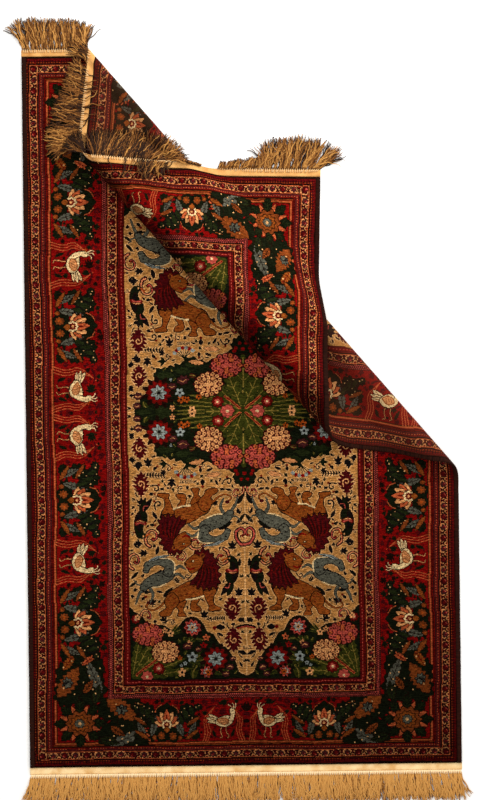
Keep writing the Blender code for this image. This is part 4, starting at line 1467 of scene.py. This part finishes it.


# %% [markdown]
# ## Cut wool pile
#
# Hand-knotted sheep's wool, sheared to an even height. It is matt and has next to no sheen,
# because light falls in between the ends of the yarn. Dye lots differ from one stretch of
# weaving to the next, which weavers call abrash: soft bands across the rug. Single knots differ
# too, and tufts lean together in clumps, drawn about 3 by 14 mm, since single ends of yarn are
# too fine to show. Painted shade makes the pile darker towards the foot of the rug and towards
# its lower right corner. Over the outside of the roll the pile splays open and shows its dark
# roots, and painted shade darkens the roll's upper half and the turned layer just beyond it
# further, as the side turned from the light. Past that, painted light makes the turned layer's
# pile lighter.


# %% Cut wool pile
def cut_wool_pile():
    """The dye times seven shades: knot, abrash, clump, painted shade to the foot, painted light past the
    roll, and painted shade either side of its outermost point.
    """
    material, tree = new_material("hand-knotted cut wool pile")
    place = add(tree, "UVMap", uv_map="flat").outputs["UV"]
    clump = clouds(tree, place, (70.0, 300.0, 1.0), 1.0, 2.0)
    abrash = clouds(tree, place, (1.2, 9.0, 1.0), 3.0, 3.0)
    flat = add(tree, "SeparateXYZ", {0: place})
    foot_line = calc(tree, "MULTIPLY_ADD", flat.outputs["X"], -0.28, flat.outputs["Y"])
    past_roll = add(tree, "Attribute", attribute_name="past roll").outputs["Fac"]
    along_fold = add(tree, "Attribute", attribute_name="along fold").outputs["Fac"]
    # painted shade on the roll: a dark band from its outermost point over its upper half and onto the turned
    # layer, wider towards the lower right end
    reach = ranged(tree, along_fold, -1.35, -0.25, 0.055, 0.150)
    after = ranged(tree, calc(tree, "DIVIDE", past_roll, reach), 0.35, 1.0, 0.30, 1.0,
                   interpolation_type="SMOOTHSTEP")
    before = ranged(tree, past_roll, -0.10, -0.05, 1.0, 0.30)
    shade = knot_tone(tree, place, 0.42, 1.02)
    for other in (ranged(tree, abrash, 0.3, 0.7, 0.80, 1.16),
                  # painted shade: darker towards the foot and the lower right
                  ranged(tree, foot_line, -0.35, 0.80, 0.46, 1.06),
                  ranged(tree, clump, 0.36, 0.64, 0.52, 1.42),
                  # painted light: the turned layer beyond the roll is lighter
                  ranged(tree, past_roll, 0.06, 0.26, 1.0, 1.30),
                  # painted shade over the roll, together with the splayed pile's dark roots
                  calc(tree, "MAXIMUM", after, before)):
        shade = calc(tree, "MULTIPLY", shade, other)
    colour = add(tree, "VectorMath", {0: knot_colour(tree), "Scale": shade}, operation="SCALE").outputs[0]
    mound = calc(tree, "ABSOLUTE", calc(tree, "MULTIPLY", *knot_waves(tree, place)))
    height = calc(tree, "MULTIPLY_ADD", clump, 2.2, mound)
    finish(tree, Base_Color=colour, Roughness=1.0, Specular_IOR_Level=0.01, Sheen_Weight=0.01,
           Sheen_Tint=linear("ff9a60"), Normal=bumped(tree, height, 0.6, 0.0012))
    return material


# %% [markdown]
# ## Knotted back
#
# Under the rug each knot shows as a small hard collar of its own colour, between threads of
# the weft. There is no pile to shade the dye, but the brown weft mixes with it, so the same
# design looks flatter, browner and a little ridged across.


# %% Knotted back
def knotted_back():
    """The dye mixed with weft between the ridges, times each knot's tone."""
    material, tree = new_material("wool knots and weft on the back")
    place = add(tree, "UVMap", uv_map="flat").outputs["UV"]
    wave_x, wave_y = knot_waves(tree, place)
    ridge = calc(tree, "ABSOLUTE", wave_y)
    weft_shows = ranged(tree, ridge, 0.0, 0.75, 0.70, 0.34)
    mixed = add(tree, "Mix", {"Factor": weft_shows, 6: knot_colour(tree), 7: linear("3a2014")},
                data_type="RGBA")
    colour = add(tree, "VectorMath", {0: mixed.outputs[2], "Scale": knot_tone(tree, place, 0.72, 1.20)},
                 operation="SCALE").outputs[0]
    collar = calc(tree, "MULTIPLY_ADD", wave_x, 0.4, ridge)
    finish(tree, Base_Color=colour, Roughness=0.95, Specular_IOR_Level=0.03, Sheen_Weight=0.01,
           Sheen_Tint=linear("ff9a60"), Normal=bumped(tree, collar, 0.7, 0.0006))
    return material


rug.data.materials.append(cut_wool_pile())
rug.data.materials.append(knotted_back())
print("materials on the cloth:", [m.name for m in rug.data.materials])

# %% [markdown]
# ## Overcast side cords
#
# Each long side ends in a few warps bound into a flat cord with dark wool. The wrapping is
# close, every turn about 3 mm wide, and shows as a row of ribs. The cord is a rounded section
# carried along the edge, swollen at the middle of each turn, and folded with the rug.


# %% Side cords
WRAP_PITCH = 0.0032
CORD_SIDES = 14
CORD_POWER = 0.72                # under 1: fuller than an ellipse
CORD_GIRTH = 0.04
CORD_SUNK = 0.0002               # inside the CAD model's face


def make_cord(name, start):
    """A superellipse across, whose size is 1 less a little of the cosine of the way along."""
    rings = round((PILE_LENGTH - 2 * SEAM) / WRAP_PITCH) * 2 + 1
    v = np.linspace(SEAM, PILE_LENGTH - SEAM, rings)[:, None]
    angle = -np.linspace(0, math.tau, CORD_SIDES, endpoint=False)[None, :]
    swell = 0.93 + 0.07 * np.cos(math.pi * np.arange(rings))[:, None]
    swell = swell * (1 - 0.02 * np.sin(v * 31) - 0.015 * np.sin(v * 97 + 1))
    across = np.sign(np.cos(angle)) * np.abs(np.cos(angle)) ** CORD_POWER * swell
    upward = np.sign(np.sin(angle)) * np.abs(np.sin(angle)) ** CORD_POWER * swell
    flat = np.stack(np.broadcast_arrays(start + (1 + across) * SELVEDGE_WIDTH / 2, v,
                                        upward * (HALF - CORD_SUNK)), -1)
    column = np.tile(np.arange(CORD_SIDES), rings - 1)
    row = np.repeat(np.arange(rings - 1), CORD_SIDES)
    uv = np.stack([np.stack(((column + a) / CORD_SIDES * CORD_GIRTH, v[row + b, 0]), -1)
                   for a, b in ((0, 0), (1, 0), (1, 1), (0, 1))], 1)
    first = np.arange(CORD_SIDES // 2 - 1)
    cap = np.stack((first, first + 1, CORD_SIDES - 2 - first, CORD_SIDES - 1 - first), -1)
    faces = (grid_faces(rings, CORD_SIDES, closed=True), cap[:, ::-1], cap + (rings - 1) * CORD_SIDES)
    cap_uv = np.zeros((2 * len(cap), 4, 2))
    cap_uv[len(cap):, :, 1] = PILE_LENGTH
    return make_piece(name, fold(flat.reshape(-1, 3)), np.concatenate(faces),
                      name.replace("cord", "selvedge"), uv=np.concatenate((uv, cap_uv)))


def overcast_wool():
    """Dark wool wound round the edge: ribs across, each of a slightly different tone."""
    material, tree = new_material("overcast dark wool")
    place = add(tree, "UVMap", uv_map="flat").outputs["UV"]
    wrap = clouds(tree, place, (30.0, 1 / WRAP_PITCH, 1.0), 1.0, 2.0)
    tone = two_tones(tree, wrap, ((0.32, "120806"), (0.70, "30150c")))
    finish(tree, Base_Color=tone.outputs["Color"], Roughness=0.90, Specular_IOR_Level=0.04,
           Sheen_Weight=0.01, Sheen_Tint=linear("ff9a60"), Normal=bumped(tree, wrap, 0.6, 0.0008))
    return material


cord_wool = overcast_wool()
cords = [make_cord("cord_left", 0.0), make_cord("cord_right", RUG_WIDTH - SELVEDGE_WIDTH)]
for cord in cords:
    cord.data.materials.append(cord_wool)
print("side cords of", [len(cord.data.polygons) for cord in cords], "faces")

# %% [markdown]
# ## Flat-woven ends
#
# Beyond the pile the warps are woven flat with cream cotton for 22 mm, to hold the last row of
# knots. It is a thin sheet of its own, level with the rug's back, a little thicker in some
# places than in others, as uneven beating leaves it, and has fine ribs across.


# %% Woven ends
def make_woven_end(name, start, stop):
    """A thin closed sheet whose thickness swells and thins along it, and is less at its edges."""
    columns, rows = 361, 9
    u = np.linspace(SEAM, RUG_WIDTH - SEAM, columns)[None, :]
    t = np.linspace(0, 1, rows)[:, None]
    rounded = KILIM_THICK * (1 - 0.45 * (2 * t - 1) ** 6)
    top = -HALF + rounded * (0.92 + 0.08 * np.sin(u * 60 + t * 5))
    v = start + (stop - start) * t
    flat = np.concatenate([np.stack(np.broadcast_arrays(u, v, w), -1).reshape(-1, 3)
                           for w in (top, -HALF)])
    faces = np.concatenate(sheet_faces(rows, columns))
    if stop < start:
        faces = faces[:, ::-1]
    return make_piece(name, fold(flat), faces, name.replace("woven_end", "kilim"),
                      uv=flat[:, :2][faces])


def flat_woven_cotton(kind, darker_tone, paler_tone):
    """Cotton in plain weave: weft ribs 1.5 mm apart, drawn as coarse as they need to show."""
    material, tree = new_material("flat-woven " + kind + " cotton")
    place = add(tree, "UVMap", uv_map="flat").outputs["UV"]
    rib = add(tree, "TexWave", {"Vector": place, "Scale": 200.0, "Distortion": 0.6, "Detail": 1.0},
              wave_type="BANDS", bands_direction="Y")
    soil = add(tree, "TexNoise", {"Vector": place, "Scale": 26.0, "Detail": 4.0})
    tone = two_tones(tree, soil.outputs[0], ((0.30, darker_tone), (0.62, paler_tone)))
    finish(tree, Base_Color=tone.outputs["Color"], Roughness=0.85, Specular_IOR_Level=0.25,
           Sheen_Weight=0.1, Normal=bumped(tree, rib.outputs["Fac"], 0.35, 0.0005))
    return material


ends = [make_woven_end("woven_end_bottom", 0.0, -KILIM_LENGTH),
        make_woven_end("woven_end_top", PILE_LENGTH, PILE_LENGTH + KILIM_LENGTH)]
ends[0].data.materials.append(flat_woven_cotton("cream", "d9a765", "f6d49c"))
ends[1].data.materials.append(flat_woven_cotton("golden", "b97c3a", "e0a862"))
print("woven ends of", [len(end.data.polygons) for end in ends], "faces")

# %% [markdown]
# ## What the fringe lies on
#
# A fringe falls from the woven end onto whatever is below: the floor, or the rug's own pile.
# To know that height anywhere, the flat sheet is sampled every 3 mm, folded, and the highest
# point over each 4 mm square of floor is kept.


# %% Height map of the folded rug
SAMPLE_PITCH = 0.003
MAP_PITCH = 0.004
MAP_CORNER = np.array((-0.80, -1.40))
MAP_SHAPE = (400, 700)


def height_map():
    """The highest folded point over each square, widened by one square on each side."""
    across = np.arange(0, RUG_WIDTH, SAMPLE_PITCH)
    u, v = np.meshgrid(across, np.arange(-KILIM_LENGTH, PILE_LENGTH + KILIM_LENGTH, SAMPLE_PITCH))
    on_pile = (v > 0) & (v < PILE_LENGTH)
    heights = np.zeros(MAP_SHAPE)
    for off in (np.where(on_pile, HALF, KILIM_THICK - HALF), np.full_like(u, -HALF)):
        spots = fold(np.stack((u, v, off), -1)).reshape(-1, 3)
        cell = ((spots[:, :2] - MAP_CORNER) / MAP_PITCH).astype(int)
        np.maximum.at(heights, (cell[:, 0], cell[:, 1]), spots[:, 2])
    wide = heights.copy()
    for axis in (0, 1):
        for shift in (-1, 1):
            wide = np.maximum(wide, np.roll(heights, shift, axis))
    return wide


heights = height_map()


def height_under(spots):
    """The map's height under each point (..., 2)."""
    cell = ((spots - MAP_CORNER) / MAP_PITCH).astype(int)
    return heights[np.clip(cell[..., 0], 0, MAP_SHAPE[0] - 1), np.clip(cell[..., 1], 0, MAP_SHAPE[1] - 1)]


print("highest point under the fringe", round(float(heights.max()), 4))

# %% [markdown]
# ## Fringe
#
# The fringe is the rug's own warp: hundreds of loosely plied cotton yarns, gone golden with
# age, that leave the woven end in small knotted bunches. Particle hair wouldn't export, so each
# yarn is a thin tube of four sides. Its path is walked for all the yarns at once: each step
# goes on in the yarn's own direction, which wanders a little, and comes down until it meets
# what lies below.

# %% Yarn paths
YARN_RADIUS = 0.0018
YARN_SIDES = 4
STEPS = 11
CURL_LENGTH = 0.034          # from one bend of a yarn's wave to the next but one
ROOT_OUT = 0.0006            # a yarn's root, outward from the woven end's edge
AIM_OUT = 0.0036             # and the point that it sets out towards
BACK_TURN = math.pi * 0.86   # turn and share of the length of yarns that fall back over the rug
BACK_LENGTH = 0.72
FRINGES = {  # name: outward side, first and last place across, bunches, yarns in each, tangle,
             # tone, and rows of place, length in mm, lean to the right in degrees and the share
             # that falls back over the rug
    "fringe_bottom": (-1, 0.003, 1.347, 192, 10, 0.80, 0.12,
                      ((0.00, 96, 12, 0), (0.03, 98, 6, 0), (0.50, 100, 0, 0), (0.96, 98, -6, 0),
                       (1.00, 96, -10, 0))),
    "fringe_top_flat": (1, 0.003, 0.262, 38, 12, 1.0, -0.26,
                        ((0.00, 100, -12, 0), (0.10, 104, -9, 0), (0.30, 100, -8, 0), (0.55, 98, -2, 0),
                         (0.72, 88, 6, 0), (0.86, 76, 26, 0), (1.00, 70, 62, 0))),
    "fringe_top_turned": (1, 0.275, 0.585, 46, 12, 1.5, -0.37,
                          ((0.00, 62, 24, 0.05), (0.20, 74, 10, 0.05), (0.40, 92, 0, 0.10),
                           (0.65, 112, -6, 0.03), (1.00, 122, -16, 0))),
    "fringe_top_raised": (1, 0.600, 0.960, 52, 12, 1.6, -0.38,
                          ((0.00, 112, 4, 0), (0.30, 116, 16, 0.02), (0.44, 114, 28, 0.10),
                           (0.54, 112, 36, 0.40), (0.66, 96, 58, 0.40), (0.72, 56, 66, 0.05),
                           (0.80, 14, 50, 0), (1.00, 9, 20, 0))),
    "fringe_top_corner": (1, 1.020, 1.347, 48, 12, 1.1, -0.24,
                          ((0.00, 26, 26, 0), (0.36, 44, 20, 0), (0.50, 100, 6, 0), (0.80, 110, 16, 0),
                           (1.00, 100, 40, 0))),
}


def edge_of_end(side):
    """How far along the flat rug the woven end's outer edge lies."""
    return PILE_LENGTH + KILIM_LENGTH if side > 0 else -KILIM_LENGTH


def yarn_paths(side, first, last, bunches, each, tangle, rows, seed):
    """Points (yarn, step, 3): the heading of each step adds a slow wander to the yarn's lean."""
    rng = np.random.default_rng(seed)
    count = bunches * each
    bunch = np.repeat(np.arange(bunches), each)
    share = (bunch + 0.5) / bunches
    root_u = first + (last - first) * share + rng.normal(0, 0.0017, count)
    root_u = np.clip(root_u, first + 0.001, last - 0.001)
    edge = edge_of_end(side)
    root_w = KILIM_THICK * rng.uniform(0.4, 0.8, count) - HALF
    root = fold(np.stack((root_u, np.full(count, edge + side * ROOT_OUT), root_w), -1))
    ahead = fold(np.stack((root_u, np.full(count, edge + side * AIM_OUT), root_w), -1)) - root
    table = np.array(rows)
    length = np.interp(share, table[:, 0], table[:, 1]) * 0.001
    length = length * rng.uniform(0.80, 1.04, count)
    lean = np.radians(np.interp(share, table[:, 0], table[:, 2]))
    lean = lean + rng.normal(0, 0.10, bunches)[bunch] * tangle
    own_lean = rng.normal(0, 0.13, count) * tangle
    back = rng.uniform(0, 1, count) < np.interp(share, table[:, 0], table[:, 3])
    heading = np.arctan2(ahead[:, 1], ahead[:, 0]) - lean - np.where(back, BACK_TURN, 0.0)
    length = np.where(back, length * BACK_LENGTH, length)
    step = length / STEPS
    curl = (rng.normal(0, 0.16, bunches)[bunch] + rng.normal(0, 0.16, count)) * tangle
    phase = rng.uniform(0, math.tau, bunches)[bunch] + rng.normal(0, 0.9, count)
    # depth sets how high a yarn lies, and its tone follows it as painted shade
    depth = rng.uniform(0.0, 1.0, count)
    lift = depth * 0.006 + YARN_RADIUS * 1.3
    spots = [root]
    for k in range(1, STEPS + 1):
        t = k / STEPS
        wave = 0.26 * tangle ** 0.5 * np.sin(phase + math.tau * t * length / CURL_LENGTH) * min(1.0, t * 4)
        turn = heading + curl * t * 1.6 + wave + own_lean * (k > 1)
        ahead_xy = np.stack((np.cos(turn), np.sin(turn)), -1)
        reach = spots[-1][:, :2] + ahead_xy * step[:, None]
        below = height_under(reach) + lift * min(1.0, t * 2.5)
        fall = step * min(0.75, 0.12 + 0.9 * t)
        height = np.maximum(below, spots[-1][:, 2] - fall)
        rise = np.abs(height - spots[-1][:, 2])
        flat_step = np.sqrt(np.maximum(step ** 2 - np.minimum(rise, step * 0.9) ** 2, 0.0))
        reach = spots[-1][:, :2] + ahead_xy * flat_step[:, None]
        spots.append(np.concatenate((reach, height[:, None]), -1))
    return np.stack(spots, 1), bunch, depth


def tubes(paths, radius):
    """Rings about each path: its direction crossed with the vertical gives the ring's axes."""
    way = np.gradient(paths, axis=1)
    way /= np.linalg.norm(way, axis=-1, keepdims=True) + 1e-12
    aside = np.cross(way, (0.0, 0.0, 1.0))
    aside /= np.linalg.norm(aside, axis=-1, keepdims=True) + 1e-9
    upward = np.cross(way, aside)
    angle = np.linspace(0, math.tau, YARN_SIDES, endpoint=False) + math.pi / 4
    ring = aside[:, :, None] * np.cos(angle)[:, None] + upward[:, :, None] * np.sin(angle)[:, None]
    points = paths[:, :, None] + ring * radius[..., None, None]
    count, steps = paths.shape[:2]
    quads = grid_faces(steps, YARN_SIDES, closed=True)
    end = np.arange(YARN_SIDES)
    one = np.concatenate((quads, (end[::-1], end + (steps - 1) * YARN_SIDES)))
    faces = (one[None] + (np.arange(count) * steps * YARN_SIDES)[:, None, None]).reshape(-1, 4)
    return points.reshape(-1, 3), faces


# %% Fringe pieces
KNOT_RINGS = np.array((0.0006, 0.002, 0.005, 0.008, 0.012))    # places of a small knot's rings
KNOT_RADII = np.array((0.0028, 0.0034, 0.0032, 0.0026, 0.0008)) * 0.62


def root_knots(side, first, last, paths, rng):
    """A short tube over the root of each bunch, which points where the bunch's yarns go."""
    bunches = len(paths)
    middle = first + (last - first) * (np.arange(bunches) + 0.5) / bunches
    across = middle + rng.normal(0, 0.0005, bunches)
    edge = edge_of_end(side) + side * KNOT_RINGS[0]
    root = fold(np.stack(np.broadcast_arrays(across, edge, KILIM_THICK * 0.72 - HALF), -1))
    ways = paths[:, :, 2].mean(1) - root
    ways /= np.linalg.norm(ways, axis=-1, keepdims=True)
    lap = 0.010 if side > 0 else 0.0
    line = root[:, None] + ways[:, None] * (KNOT_RINGS - lap)[:, None]
    line[..., 2] += 0.0030
    return tubes(line, np.tile(KNOT_RADII, (bunches, 1)))


def make_fringe(name, number):
    """Yarns, and a row of small knots at their roots, joined as one piece."""
    side, first, last, bunches, each, tangle, lighter, rows = FRINGES[name]
    paths, bunch, depth = yarn_paths(side, first, last, bunches, each, tangle, rows, number)
    count = len(paths)
    rng = np.random.default_rng(number + 50)
    t = np.linspace(0, 1, STEPS + 1)
    at_root = YARN_RADIUS * (1.15 if side < 0 else 1.0)
    radius = at_root * (1.05 - 0.45 * t ** 3)[None, :] * rng.uniform(0.75, 1.2, count)[:, None]
    points, faces = tubes(paths, radius)
    by_bunch = paths.reshape(bunches, each, STEPS + 1, 3)
    knot_points, knot_faces = root_knots(side, first, last, by_bunch, rng)
    faces = np.concatenate((faces, knot_faces + len(points)))
    points = np.concatenate((points, knot_points))
    piece = make_piece(name + "_yarns", points, faces, name)
    bleached = 0.095 if side > 0 else -0.2
    along = np.maximum(t, 0.13) if side > 0 else t
    share = np.tile(np.repeat(along, YARN_SIDES), count)
    share = np.concatenate((share, np.full(len(knot_points), bleached)))
    # painted shade: the lower a yarn lies (less depth), the darker it is; the rest of its tone differs at
    # random by yarn and bunch
    tone = 0.62 * depth + rng.uniform(0, 0.34, count) + rng.uniform(0, 0.18, bunches)[bunch] + lighter
    tone = np.concatenate((np.repeat(tone, (STEPS + 1) * YARN_SIDES), np.ones(len(knot_points))))
    for title, values in (("along yarn", share), ("tone", tone)):
        layer = piece.data.attributes.new(title, "FLOAT", "POINT")
        layer.data.foreach_set("value", values.astype(np.float32))
    return piece


def warp_yarn():
    """Plied cotton warp: each yarn has its own tan, darker with painted shade the lower it lies, and the near
    end's are cream at their knots.
    """
    material, tree = new_material("plied cotton warp yarn")
    tone = add(tree, "Attribute", attribute_name="tone").outputs["Fac"]
    along = add(tree, "Attribute", attribute_name="along yarn").outputs["Fac"]
    place = add(tree, "TexCoord").outputs["Object"]
    fuzz = add(tree, "TexNoise", {"Vector": place, "Scale": 160.0, "Detail": 2.0}).outputs[0]
    mixed = calc(tree, "MULTIPLY_ADD", fuzz, 0.5, tone)
    ramp = two_tones(tree, mixed, ((0.44, "261206"), (1.0, "c68e48")))
    ramp.color_ramp.elements.new(0.74).color = linear("7a4a1c")
    pale = ranged(tree, along, 0.04, 0.13, 1.0, 0.0)
    colour = add(tree, "Mix", {"Factor": pale, 6: ramp.outputs["Color"], 7: linear("f8dcae")},
                 data_type="RGBA")
    finish(tree, Base_Color=colour.outputs[2], Roughness=0.75, Specular_IOR_Level=0.15,
           Sheen_Weight=0.05, Sheen_Roughness=0.4, Sheen_Tint=linear("ffe0b0"))
    return material


yarn = warp_yarn()
fringes = {}
for number, name in enumerate(FRINGES):
    fringes[name] = make_fringe(name, number)
    fringes[name].data.materials.append(yarn)
    print(name, len(fringes[name].data.polygons), "faces")
